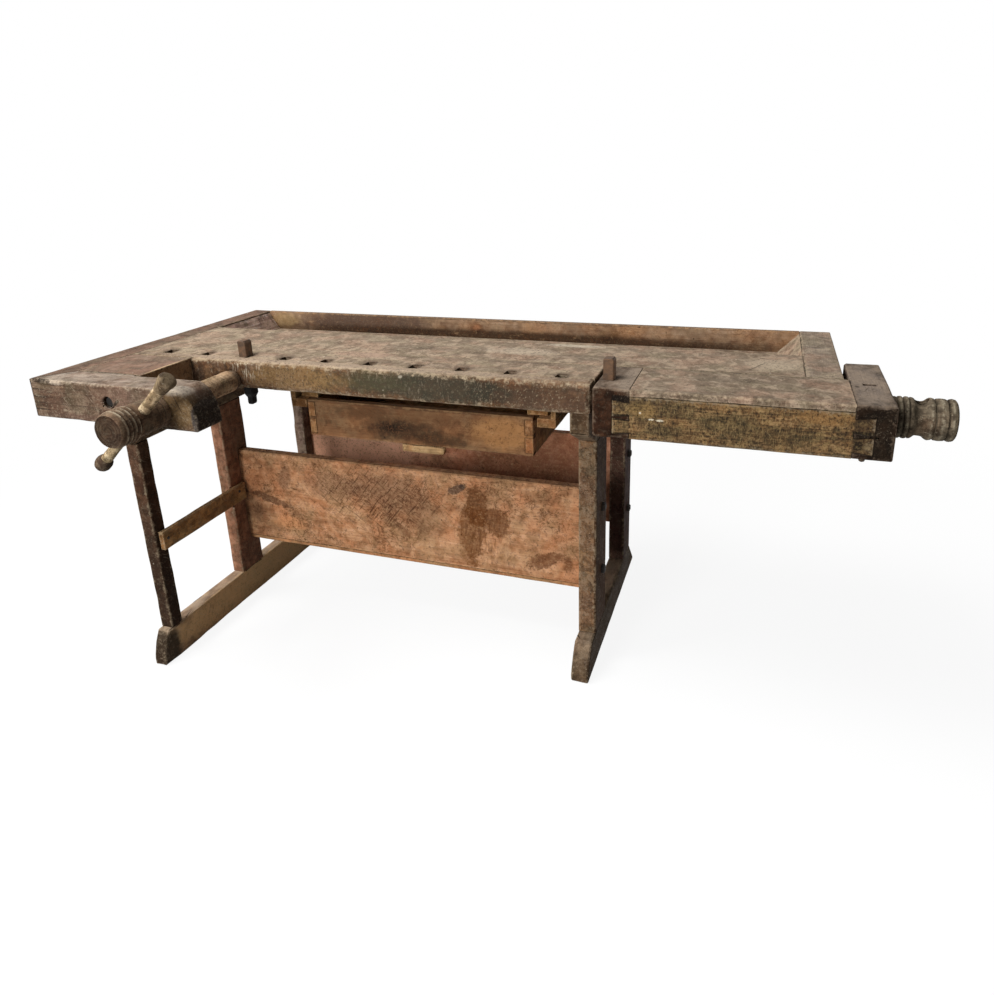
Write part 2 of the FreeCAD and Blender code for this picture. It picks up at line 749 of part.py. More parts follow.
def make_stretchers():
    x = (left_inner_x, right_trestle_x)
    stubs = stretcher_stubs()
    shanks = coach_screw_shanks()
    for name, y, ends in (("front_stretcher", stretchers()[0], stubs[:2]),
                          ("rear_stretcher", stretchers()[1], stubs[2:])):
        board = joined(box(x, y, span(stretcher_z, stretcher_height)), *ends)
        pieces[name] = board.cut(shanks)
    strip_y = (front_stretcher_y + edge_strip_inset,
               front_stretcher_y + stretcher_thickness - edge_strip_inset)
    pieces["stretcher_edge_strip"] = box(x, strip_y, (stretcher_z - edge_strip_thickness, stretcher_z))
    screws = [joined(head, shank) for head, shank in zip(coach_screw_heads(), shanks)]
    pieces["stretcher_screws"] = Part.makeCompound(screws)


def make_drawer():
    shape = (drawer_tail_count, drawer_edge_pin, drawer_middle_pin, drawer_tail_flare)
    side_y = drawer_front_y + drawer_front_thickness
    height = (drawer_bottom_z, drawer_top)
    inner = (drawer_x + drawer_side_thickness, drawer_right_x - drawer_side_thickness)
    panel_z = span(drawer_bottom_z + drawer_panel_lift, drawer_panel_thickness)
    panel = box((inner[0] - drawer_groove_depth, inner[1] + drawer_groove_depth),
                (side_y - drawer_groove_depth, drawer_back_y), panel_z)
    front = box((drawer_x, drawer_right_x), span(drawer_front_y, drawer_front_thickness), height)
    for side, x in (("left", drawer_x), ("right", inner[1])):
        root = Vector(x, side_y, drawer_bottom_z)
        tails = dovetails(root, -along_y, along_x, drawer_height, drawer_side_thickness,
                          drawer_front_thickness, *shape)
        board = box(span(x, drawer_side_thickness), (side_y, drawer_back_y), height)
        pieces["drawer_%s_side" % side] = joined(board, *tails).cut(panel)
        front = front.cut(tails)
    pieces["drawer_front"] = front.cut(panel)
    pieces["drawer_bottom"] = panel
    pieces["drawer_back"] = box(inner, (drawer_back_y - drawer_back_thickness, drawer_back_y),
                                (panel_z[1], drawer_top))
    pull_x = (drawer_x + drawer_right_x - pull_width) / 2 + pull_offset
    pieces["drawer_pull"] = box(span(pull_x, pull_width), span(drawer_front_y, pull_depth),
                                (drawer_bottom_z - pull_height, drawer_bottom_z))

    cleat_z = span(drawer_top, cleat_thickness)
    cleat_y = (side_y, drawer_back_y)
    ledge_y = span(drawer_front_y, ledge_length)
    ledge_z = (ledge_top - ledge_thickness, ledge_top)
    spacer_z = (ledge_top, slab_bottom)
    left_ledge = drawer_x - left_ledge_gap - ledge_width
    right_ledge = drawer_right_x + right_ledge_gap
    pieces["drawer_left_cleat"] = box((drawer_x - cleat_overhang, inner[0]), cleat_y, cleat_z)
    pieces["drawer_right_cleat"] = box((inner[1], drawer_right_x + cleat_overhang), cleat_y, cleat_z)
    pieces["left_runner_ledge"] = box(span(left_ledge, ledge_width), ledge_y, ledge_z)
    pieces["right_runner_ledge"] = box(span(right_ledge, ledge_width), ledge_y, ledge_z)
    pieces["left_runner_spacer"] = box(span(left_ledge, spacer_width), ledge_y, spacer_z)
    right_spacer = right_ledge + ledge_width - spacer_width
    pieces["right_runner_spacer"] = box(span(right_spacer, spacer_width), ledge_y, spacer_z)


make_bench_top()
make_shoulder_vise()
make_front_screw()
make_tail_vise()
pieces["bench_dog"] = dog(first_dog_hole + bench_dog_hole * dog_hole_spacing, bench_dog_rise)
make_trestles()
make_stretchers()
make_drawer()

os.makedirs("parts", exist_ok=True)
for name, shape in pieces.items():
    shape.translate(-footprint_middle)
    shape.exportStep("parts/%s.step" % name)
print("pieces:", len(pieces))
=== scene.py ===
import json
import math

import bmesh
import bpy
from mathutils import Matrix, Vector, noise


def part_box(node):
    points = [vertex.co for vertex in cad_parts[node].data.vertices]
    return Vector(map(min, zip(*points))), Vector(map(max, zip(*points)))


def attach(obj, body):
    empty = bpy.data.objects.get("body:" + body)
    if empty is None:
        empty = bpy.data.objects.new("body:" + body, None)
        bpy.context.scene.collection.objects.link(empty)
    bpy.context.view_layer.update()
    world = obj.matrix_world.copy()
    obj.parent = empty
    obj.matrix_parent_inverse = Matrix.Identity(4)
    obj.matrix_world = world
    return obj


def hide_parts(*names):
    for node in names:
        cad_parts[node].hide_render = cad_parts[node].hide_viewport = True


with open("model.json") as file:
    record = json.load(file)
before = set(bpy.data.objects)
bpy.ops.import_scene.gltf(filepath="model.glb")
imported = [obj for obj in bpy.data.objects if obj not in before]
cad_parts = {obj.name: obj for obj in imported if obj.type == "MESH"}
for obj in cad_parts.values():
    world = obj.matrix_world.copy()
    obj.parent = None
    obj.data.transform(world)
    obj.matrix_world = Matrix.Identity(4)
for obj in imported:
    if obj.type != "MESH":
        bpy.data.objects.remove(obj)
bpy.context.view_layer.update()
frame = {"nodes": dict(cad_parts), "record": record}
nodes = frame["nodes"]
record = frame["record"]
bodyOf = {node: body for body, members in record["behaviour"]["bodies"].items() for node in members}
boxOf = {name: [Vector(corner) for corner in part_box(name)] for name in nodes}
mm = 0.001
print("frame loaded:", len(nodes), "nodes")

# places on the bench are given in mm from the left end cap, the slab's front face and the floor
benchCorner = Vector((boxOf["left_end_cap"][0].x, boxOf["dog_strip_face"][0].y, 0.0))


def onBench(x, y, z):
    return benchCorner + Vector((x, y, z)) * mm


def linearColour(code):
    shades = [int(code[i:i + 2], 16) / 255 for i in (1, 3, 5)]
    return tuple(s / 12.92 if s <= 0.04045 else ((s + 0.055) / 1.055) ** 2.4 for s in shades) + (1.0,)


def addNode(tree, kind, settings=None, links=None, out=0):
    node = tree.nodes.new("ShaderNode" + kind)
    for key, value in (settings or {}).items():
        if key == "ramp":
            stops = node.color_ramp.elements
            stops.remove(stops[1])
            stops[0].position, stops[0].color = value[0][0], linearColour(value[0][1])
            for place, code in value[1:]:
                stops.new(place).color = linearColour(code)
        elif isinstance(key, str) and hasattr(node, key):
            setattr(node, key, value)
        else:
            node.inputs[key].default_value = value
    for key, source in (links or {}).items():
        tree.links.new(source, node.inputs[key])
    return node.outputs[out] if len(node.outputs) else node


def newMaterial(name):
    material = bpy.data.materials.new(name)
    material.use_nodes = True
    material.node_tree.nodes.clear()
    return material, material.node_tree


# what all timbers share: places of the four tones along the figure, dark fibres first, sizes of the
# common fields in mm and tones of the small marks
timberBase = {"tonePlaces": (0.37, 0.46, 0.55, 0.65), "driftMm": 230, "tintMm": 70, "dentMm": 22,
              "raggedMm": 34, "cellMm": 19, "fleck": "#c4b9a6", "worm": "#1d1711", "seam": "#150f0a"}


# bare timber, planed by hand and never varnished: long fibres, growth lines, mottled handling grime,
# pale scuffs, dust on what faces up (partly painted light), dark end grain and rubbed arrises
def agedTimber(name, look, box):
    material, tree = newMaterial(name)
    grain = look["grain"]
    seed = look["seed"]
    thin = min(range(3), key=lambda axis: box[1][axis] - box[0][axis])  # the broad faces' axis
    coats = []  # masks with their tones, each over the ones before it

    def stretched(widthMm, runMm, along):  # pattern size across and along one axis
        return tuple(1 / ((runMm if axis == along else widthMm) * mm) for axis in range(3))

    place = addNode(tree, "TexCoord", out="Object")
    facing = addNode(tree, "TexCoord", out="Normal")
    away = (seed * 0.37, seed * 0.71, seed * 0.53)  # every board is cut from its own place in the pattern
    shifted = addNode(tree, "VectorMath", {"operation": "ADD", 1: away}, {0: place})
    drift = addNode(tree, "TexNoise", {"Scale": 1 / (timberBase["driftMm"] * mm), "Detail": 1.0},
                    {"Vector": shifted}, out=1)
    driftMid = addNode(tree, "VectorMath", {"operation": "SUBTRACT", 1: (0.5, 0.5, 0.5)}, {0: drift})
    wander = addNode(tree, "VectorMath", {"operation": "MULTIPLY_ADD", 1: (look["wanderMm"] * mm,) * 3},
                     {0: driftMid, 2: shifted})

    # the close marks run across the bench, as work on it does
    crossed = addNode(tree, "VectorMath", {"operation": "MULTIPLY", 1: (1.0, look["crossShare"], 1.0)},
                      {0: wander})

    # noise fields: mm across, mm along an axis (0 for even ones), detail, roughness, distortion, place
    patterns = {
        "fibre": (look["fibreMm"], look["fibreRunMm"], grain, 4.0, 0.65, 0.0, wander),
        "growth": (look["growthMm"], look["growthMm"] * 9, grain, 1.0, 0.4, 0.0, wander),
        "mottle": (look["mottleMm"], 0, grain, 6.0, 0.75, 0.0, crossed),
        "patch": (look["patchMm"], 0, grain, 5.0, 0.62, 0.0, shifted),
        "blotch": (look["blotchMm"], 0, grain, 4.0, 0.62, 0.5, crossed),
        "tint": (timberBase["tintMm"], 0, grain, 3.0, 0.5, 0.0, wander),
        "grime": (look["grimeMm"], look["grimeMm"] * 1.8, grain, 8.0, 0.76, 0.0, shifted),
        "speck": (look["speckMm"], 0, grain, 6.0, 0.82, 0.0, crossed),
        "vein": (look["veinMm"], 0, grain, 4.0, 0.62, 1.1, shifted),
        "scuff": (look["scuffMm"], look["scuffRunMm"], look["scuffAxis"], 6.0, 0.78, 0.0, shifted),
        "dents": (timberBase["dentMm"], 0, grain, 4.0, 0.6, 0.0, shifted)}
    fields = {}
    for pattern, (acrossMm, alongMm, axis, detail, roughness, distortion, where) in patterns.items():
        scale = 1 / (acrossMm * mm)
        if alongMm:
            stretch = stretched(acrossMm, alongMm, axis)
            where = addNode(tree, "VectorMath", {"operation": "MULTIPLY", 1: stretch}, {0: where})
            scale = 1.0
        grit = {"Scale": scale, "Detail": detail, "Roughness": roughness, "Distortion": distortion}
        fields[pattern] = addNode(tree, "TexNoise", grit, {"Vector": where})
    fibre, mottle = fields["fibre"], fields["mottle"]

    # fibres, growth lines and a close mottle make the figure
    growthCount = addNode(tree, "Math", {"operation": "MULTIPLY", 1: look["growthLines"]},
                          {0: fields["growth"]})
    growth = addNode(tree, "Math", {"operation": "PINGPONG", 1: 1.0}, {0: growthCount})
    middle = 0.5 - 0.5 * (look["fibreDepth"] + look["growthDepth"] + look["mottleDepth"])
    figureFibre = addNode(tree, "Math", {"operation": "MULTIPLY_ADD", 1: look["fibreDepth"], 2: middle},
                          {0: fibre})
    figureGrown = addNode(tree, "Math", {"operation": "MULTIPLY_ADD", 1: look["growthDepth"]},
                          {0: growth, 2: figureFibre})
    figure = addNode(tree, "Math", {"operation": "MULTIPLY_ADD", 1: look["mottleDepth"]},
                     {0: mottle, 2: figureGrown})
    ramp = list(zip(timberBase["tonePlaces"], look["tones"]))
    colour = addNode(tree, "ValToRGB", {"ramp": ramp}, {"Fac": figure})

    # broad patches of a second tone, ragged blotches of dirt and washed-out wood, a drift of red and green
    for pattern, start, full, amount, tone in (
            ("patch", 0.46, 0.64, "patchAmount", "patch"),
            ("blotch", 0.5, 0.565, "blotchAmount", "blotch"),
            ("blotch", 0.48, 0.41, "washAmount", "wash"),
            ("tint", 0.51, 0.62, "tintAmount", "warm"),
            ("tint", 0.48, 0.37, "tintAmount", "green")):
        mask = addNode(tree, "MapRange", {"From Min": start, "From Max": full, "To Max": look[amount]},
                       {"Value": fields[pattern]})
        coats.append((mask, look[tone]))

    # stains, and patches of painted light and shade, in their own places
    raggedScale = 1 / (timberBase["raggedMm"] * mm)
    raggedNoise = addNode(tree, "TexNoise", {"Scale": raggedScale, "Detail": 6.0, "Roughness": 0.72},
                          {"Vector": shifted}, out=1)
    ragged = addNode(tree, "VectorMath", {"operation": "SUBTRACT", 1: (0.5, 0.5, 0.5)}, {0: raggedNoise})
    for spot in look["spots"]:
        spotOffset = addNode(tree, "VectorMath", {"operation": "SUBTRACT", 1: onBench(*spot["at"])},
                             {0: place})
        if "turn" in spot:
            spin = {"rotation_type": "XYZ"[spot.get("about", thin)] + "_AXIS",
                    "Angle": math.radians(spot["turn"])}
            spotOffset = addNode(tree, "VectorRotate", spin, {"Vector": spotOffset})
        spotShare = [1 / (size * mm) for size in spot["size"]]
        spotScaled = addNode(tree, "VectorMath", {"operation": "MULTIPLY", 1: spotShare}, {0: spotOffset})
        spotRagged = addNode(tree, "VectorMath", {"operation": "MULTIPLY_ADD", 1: (spot["ragged"],) * 3},
                             {0: ragged, 2: spotScaled})
        spotReach = addNode(tree, "VectorMath", {"operation": "LENGTH"}, {0: spotRagged}, out=1)
        if "square" in spot:
            spotAway = addNode(tree, "VectorMath", {"operation": "ABSOLUTE"}, {0: spotRagged})
            spotParts = [addNode(tree, "SeparateXYZ", links={0: spotAway}, out=axis) for axis in range(3)]
            spotFlat = addNode(tree, "Math", {"operation": "MAXIMUM"}, {0: spotParts[0], 1: spotParts[1]})
            spotReach = addNode(tree, "Math", {"operation": "MAXIMUM"}, {0: spotFlat, 1: spotParts[2]})
        spotSettings = {"interpolation_type": "SMOOTHSTEP", "From Min": spot.get("core", 0.5),
                        "From Max": 1.1, "To Min": spot["amount"], "To Max": 0.0}
        spotMask = addNode(tree, "MapRange", spotSettings, {"Value": spotReach})
        coats.append((spotMask, spot["tint"]))

    # handling grime that settles along the fibres
    grimeEdge = 0.68 - 0.36 * look["grimeCover"]
    grime = addNode(tree, "MapRange", {"From Min": grimeEdge, "From Max": grimeEdge + 0.16,
                                       "To Max": look["grimeAmount"]}, {"Value": fields["grime"]})
    coats.append((grime, look["grime"]))

    # end grain takes up dirt and goes dark
    facingAlong = addNode(tree, "SeparateXYZ", links={0: facing}, out=grain)
    endFacing = addNode(tree, "Math", {"operation": "ABSOLUTE"}, {0: facingAlong})
    endGrain = addNode(tree, "MapRange", {"From Min": 0.75, "From Max": 0.95, "To Max": 0.9},
                       {"Value": endFacing})
    coats.append((endGrain, look["endTone"], "MULTIPLY"))

    # dark and pale specks of dirt and bare wood
    for start, full, amount, tone in ((0.52, 0.60, "speckAmount", "grime"),
                                      (0.47, 0.39, "speckPale", "scuff")):
        mask = addNode(tree, "MapRange", {"From Min": start, "From Max": full, "To Max": look[amount]},
                       {"Value": fields["speck"]})
        coats.append((mask, look[tone]))

    # crooked hair cracks, drawn about 1 mm wide so that they show
    veinMiddle = addNode(tree, "Math", {"operation": "SUBTRACT", 1: 0.5}, {0: fields["vein"]})
    veinReach = addNode(tree, "Math", {"operation": "ABSOLUTE"}, {0: veinMiddle})
    veinSettings = {"From Min": look["veinReach"] * 0.3, "From Max": look["veinReach"],
                    "To Min": look["veinAmount"], "To Max": 0.0}
    veinLine = addNode(tree, "MapRange", veinSettings, {"Value": veinReach})
    veinGate = addNode(tree, "MapRange", {"From Min": 0.45, "From Max": 0.56}, {"Value": fields["patch"]})
    vein = addNode(tree, "Math", {"operation": "MULTIPLY"}, {0: veinLine, 1: veinGate})
    coats.append((vein, look["grime"]))

    # straight scratches and knife cuts, drawn wider than they are so that they show
    scratch = vein
    for cut in look["scratches"]:
        cutAlong = (thin + 1) % 3
        cutSize = tuple((cut["runMm"] if axis == cutAlong else cut["widthMm"]) * mm for axis in range(3))
        cutTurn = tuple(math.radians(cut["turn"]) if axis == thin else 0.0 for axis in range(3))
        cutPlace = addNode(tree, "Mapping", {"vector_type": "TEXTURE", "Rotation": cutTurn,
                                             "Scale": cutSize}, {"Vector": shifted})
        cutField = addNode(tree, "TexNoise", {"Scale": 1.0, "Detail": 1.0}, {"Vector": cutPlace})
        cutLine = addNode(tree, "MapRange", {"From Min": cut["edge"], "From Max": cut["edge"] + 0.06,
                                             "To Max": cut["amount"]}, {"Value": cutField})
        cutGate = addNode(tree, "MapRange", {"From Min": 0.47, "From Max": 0.58},
                          {"Value": fields["patch"]})
        if "at" in cut:
            cutOffset = addNode(tree, "VectorMath", {"operation": "SUBTRACT", 1: onBench(*cut["at"])},
                                {0: place})
            cutShare = [1 / (size * mm) for size in cut["size"]]
            cutScaled = addNode(tree, "VectorMath", {"operation": "MULTIPLY", 1: cutShare}, {0: cutOffset})
            cutReach = addNode(tree, "VectorMath", {"operation": "LENGTH"}, {0: cutScaled}, out=1)
            cutGate = addNode(tree, "MapRange", {"From Min": 1.1, "From Max": 0.5}, {"Value": cutReach})
        scratch = addNode(tree, "Math", {"operation": "MULTIPLY"}, {0: cutLine, 1: cutGate})
        coats.append((scratch, cut["tint"]))

    # pale scuffs and runs
    scuff = addNode(tree, "MapRange", {"From Min": 0.57, "From Max": 0.7, "To Max": look["scuffAmount"]},
                    {"Value": fields["scuff"]})
    coats.append((scuff, look["scuff"]))

    # dust on faces that look up, which on the left foot's top is also painted light
    upward = addNode(tree, "SeparateXYZ", links={0: addNode(tree, "NewGeometry", out="Normal")}, out=2)
    dustAndPaintedLightReach = addNode(tree, "MapRange", {"From Min": 0.45, "From Max": 0.95,
                                           "To Max": look["dustAndPaintedLightAmount"]}, {"Value": upward})
    dustAndPaintedLightPatch = addNode(tree, "MapRange", {"From Min": 0.62, "From Max": 0.36}, {"Value": fields["grime"]})
    dustAndPaintedLight = addNode(tree, "Math", {"operation": "MULTIPLY"}, {0: dustAndPaintedLightReach, 1: dustAndPaintedLightPatch})
    coats.append((dustAndPaintedLight, look["dustAndPaintedLight"]))

    # rubbed arrises: the middle one of three distances to the board's faces is the way to its nearest edge
    centre = (box[0] + box[1]) / 2
    half = (box[1] - box[0]) / 2
    fromCentre = addNode(tree, "VectorMath", {"operation": "SUBTRACT", 1: centre}, {0: place})
    awayCentre = addNode(tree, "VectorMath", {"operation": "ABSOLUTE"}, {0: fromCentre})
    toFace = addNode(tree, "VectorMath", {"operation": "SUBTRACT", 0: half}, {1: awayCentre})
    faceX, faceY, faceZ = [addNode(tree, "SeparateXYZ", links={0: toFace}, out=axis) for axis in range(3)]
    nearXy = addNode(tree, "Math", {"operation": "MINIMUM"}, {0: faceX, 1: faceY})
    farXy = addNode(tree, "Math", {"operation": "MAXIMUM"}, {0: faceX, 1: faceY})
    nearZ = addNode(tree, "Math", {"operation": "MINIMUM"}, {0: farXy, 1: faceZ})
    toEdge = addNode(tree, "Math", {"operation": "MAXIMUM"}, {0: nearXy, 1: nearZ})
    rubSettings = {"From Min": 0.35, "From Max": 0.65, "To Min": look["rubMm"] * -0.6 * mm,
                   "To Max": look["rubMm"] * mm}
    rubNoise = addNode(tree, "MapRange", rubSettings, {"Value": mottle})
    rubReach = addNode(tree, "Math", {"operation": "ADD"}, {0: toEdge, 1: rubNoise})
    rubSettings = {"interpolation_type": "SMOOTHSTEP", "From Max": look["rubMm"] * mm,
                   "To Min": look["rubAmount"], "To Max": 0.0}
    rub = addNode(tree, "MapRange", rubSettings, {"Value": rubReach})
    coats.append((rub, look["rub"]))

    # dark specks, worm holes and paint flecks share one field of cells
    cellScale = 1 / (timberBase["cellMm"] * mm)
    cellReach = addNode(tree, "TexVoronoi", {"Scale": cellScale}, {"Vector": shifted})
    cellPick = addNode(tree, "TexVoronoi", {"Scale": cellScale}, {"Vector": shifted}, out=1)
    cellPart = addNode(tree, "SeparateXYZ", links={0: cellPick})
    dot = addNode(tree, "MapRange", {"From Min": 0.06, "From Max": 0.16, "To Min": 0.85, "To Max": 0.0},
                  {"Value": cellReach})
    pale = addNode(tree, "MapRange", {"From Min": 1 - look["flecks"], "From Max": 1.01 - look["flecks"]},
                   {"Value": cellPart})
    fleck = addNode(tree, "Math", {"operation": "MULTIPLY"}, {0: dot, 1: pale})
    coats.append((fleck, timberBase["fleck"]))
    dark = addNode(tree, "MapRange", {"From Min": look["wormHoles"],
                                      "From Max": look["wormHoles"] - 0.01}, {"Value": cellPart})
    worm = addNode(tree, "Math", {"operation": "MULTIPLY"}, {0: dot, 1: dark})
    coats.append((worm, timberBase["worm"]))

    # black dirt packed into the joints
    seamStrip = addNode(tree, "Attribute", {"attribute_name": "seamDirt"}, out="Fac")
    seamSettings = {"From Min": 0.4, "From Max": 0.58, "To Min": look["seamAmount"] * 0.4,
                    "To Max": look["seamAmount"]}
    seamUneven = addNode(tree, "MapRange", seamSettings, {"Value": mottle})
    seamDirt = addNode(tree, "Math", {"operation": "MULTIPLY"}, {0: seamStrip, 1: seamUneven})
    coats.append((seamDirt, timberBase["seam"]))

    # the lathe's rings, where dirt and wear run round a turned piece
    if look["latheMm"]:
        stretch = (2.0, 2.0, 1 / (look["latheMm"] * mm))
        ringPlace = addNode(tree, "VectorMath", {"operation": "MULTIPLY", 1: stretch}, {0: shifted})
        ringField = addNode(tree, "TexNoise", {"Scale": 1.0, "Detail": 4.0, "Roughness": 0.7},
                            {"Vector": ringPlace})
        ring = addNode(tree, "MapRange", {"From Min": 0.54, "From Max": 0.7, "To Max": 0.5},
                       {"Value": ringField})
        coats.append((ring, look["lathe"]))
        ridge = addNode(tree, "Attribute", {"attribute_name": "ridgeWear"}, out="Fac")
        ridgeUneven = addNode(tree, "MapRange", {"From Min": 0.44, "From Max": 0.54, "To Min": 0.0},
                              {"Value": mottle})
        ridgeWorn = addNode(tree, "Math", {"operation": "MULTIPLY"}, {0: ridge, 1: ridgeUneven})
        coats.append((ridgeWorn, look["ridge"]))

    for mask, tone, *blend in coats:
        settings = {"data_type": "RGBA", "blend_type": blend[0] if blend else "MIX", 7: linearColour(tone)}
        colour = addNode(tree, "Mix", settings, {0: mask, 6: colour}, out=2)

    # open fibres, dents and cuts stand in relief
    relief = addNode(tree, "Math", {"operation": "MULTIPLY_ADD", 1: 1.1}, {0: fields["dents"], 2: fibre})
    reliefMottled = addNode(tree, "Math", {"operation": "MULTIPLY_ADD", 1: 0.7}, {0: mottle, 2: relief})
    reliefCut = addNode(tree, "Math", {"operation": "MULTIPLY_ADD", 1: -0.8},
                        {0: scratch, 2: reliefMottled})
    bump = addNode(tree, "Bump", {"Strength": 0.85, "Distance": look["reliefMm"] * mm},
                   {"Height": reliefCut})
    rough = addNode(tree, "MapRange", {"From Min": 0.3, "From Max": 0.7, "To Min": look["rough"] + 0.12,
                                       "To Max": look["rough"] - 0.1}, {"Value": fields["grime"]})
    surface = addNode(tree, "BsdfPrincipled", {"Specular IOR Level": 0.03},
                      {"Base Color": colour, "Roughness": rough, "Normal": bump})
    addNode(tree, "OutputMaterial", links={"Surface": surface})
    return material


# hammered iron left bare: near-black scale with brown rust where it was handled, dull highlights
def forgedIron(name, rust, seed):
    material, tree = newMaterial(name)
    place = addNode(tree, "TexCoord", out="Object")
    shifted = addNode(tree, "VectorMath", {"operation": "ADD", 1: (seed, seed * 0.6, seed * 0.3)},
                      {0: place})
    rustField = addNode(tree, "TexNoise", {"Scale": 1 / (14 * mm), "Detail": 6.0, "Roughness": 0.7},
                        {"Vector": shifted})
    rustShift = addNode(tree, "Math", {"operation": "ADD", 1: rust}, {0: rustField})
    colour = addNode(tree, "ValToRGB", {"ramp": [(0.35, "#17130f"), (0.55, "#2c221a"), (0.75, "#4e3a29"),
                                                 (0.95, "#6b4f38")]}, {"Fac": rustShift})
    soot = addNode(tree, "Attribute", {"attribute_name": "seamDirt"}, out="Fac")
    colour = addNode(tree, "Mix", {"data_type": "RGBA", 7: linearColour("#100d0b")}, {0: soot, 6: colour},
                     out=2)
    hammer = addNode(tree, "TexNoise", {"Scale": 1 / (9 * mm), "Detail": 3.0}, {"Vector": shifted})
    bump = addNode(tree, "Bump", {"Strength": 0.7, "Distance": 0.8 * mm}, {"Height": hammer})
    rough = addNode(tree, "MapRange", {"From Min": 0.3, "From Max": 0.7, "To Min": 0.55, "To Max": 0.8},
                    {"Value": rustField})
    surface = addNode(tree, "BsdfPrincipled", {"Metallic": 0.55},
                      {"Base Color": colour, "Roughness": rough, "Normal": bump})
    addNode(tree, "OutputMaterial", links={"Surface": surface})
    return material


def seat(piece, node, hide=True):
    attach(piece, bodyOf[node])
    if hide:
        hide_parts(node)
    return piece


def newObject(name, mesh):
    piece = bpy.data.objects.new(name, mesh)
    bpy.context.scene.collection.objects.link(piece)
    return piece


def meetsNeighbour(node, point):
    for other, (low, high) in boxOf.items():
        if other != node and all(low[i] < point[i] < high[i] for i in range(3)):
            return True
    return False


# how boards wear: mm, degrees and shares
wear = {
    "weldMm": 0.02, "planeTurn": 1.5, "flatTurn": 0.5, "sharpTurn": 30, "smoothTurn": 42, "holeTurn": 2,
    "mouthHalf": 12.5, "mouthFront": 40, "mouthBack": 70, "mouthRim": 0.3,
    "mouthSlices": (0, 2.5, 6, 11, 18, 27),
    "sinkReach": 26, "sinkFade": 9, "sinkGrime": 0.9, "grimeFade": 8, "sinkBelow": 6, "unevenMm": 16,
    "inwardMm": 2, "outwardMm": 5, "seamInwardMm": 2.5, "broadChip": 2.2, "fineChip": 0.9, "chipShift": 0.1,
    "ringPoints": 16, "ringMm": 2, "skinMm": 0.2, "borderMm": 5, "sliceGap": 0.3}


# where to slice a board so that every opening in a face ends up between plain strips
def slicePlaces(shape, sharp, step, mouths):
    low = [min(v.co[i] for v in shape.verts) for i in range(3)]
    high = [max(v.co[i] for v in shape.verts) for i in range(3)]
    longest = max(range(3), key=lambda i: high[i] - low[i])
    places = [set(), set(), set()]
    ringPoints = []
    for vert in shape.verts:
        edges = [e for e in vert.link_edges if e in sharp]
        if len(edges) >= 3:
            for axis in range(3):
                places[axis].add(round(vert.co[axis], 4))
        elif len(edges) == 2:
            ringPoints.append((vert, edges))
    seen = set()
    for vert, edges in ringPoints:  # round holes: slice through their middle and their widest points
        if vert in seen:
            continue
        ring, stack = [], [vert]
        while stack:
            point = stack.pop()
            if point in seen:
                continue
            seen.add(point)
            ring.append(point)
            for edge in point.link_edges:
                other = edge.other_vert(point)
                if edge in sharp and len([e for e in other.link_edges if e in sharp]) == 2:
                    stack.append(other)
        if len(ring) < wear["ringPoints"]:
            continue
        for axis in range(3):
            least = min(p.co[axis] for p in ring)
            most = max(p.co[axis] for p in ring)
            if most - least > wear["ringMm"] * mm:
                places[axis].update(round(v, 4) for v in (least, (least + most) / 2, most))
    count = int((high[longest] - low[longest]) / step)
    for index in range(1, count):
        place = low[longest] + (high[longest] - low[longest]) * index / count
        if all(abs(place - other) > step * wear["sliceGap"] for other in places[longest]):
            places[longest].add(place)
    border = wear["borderMm"] * mm
    for mouth in mouths:  # close slices round a worn hole, so that its rim can sink
        for axis in (0, 1):
            for reach in wear["mouthSlices"]:
                for p in (mouth[0][axis] - reach * mm, mouth[1][axis] + reach * mm):
                    if low[axis] + border < p < high[axis] - border:
                        places[axis].add(round(p, 5))
    skin = wear["skinMm"] * mm
    return [[p for p in sorted(places[i]) if low[i] + skin < p < high[i] - skin] for i in range(3)]


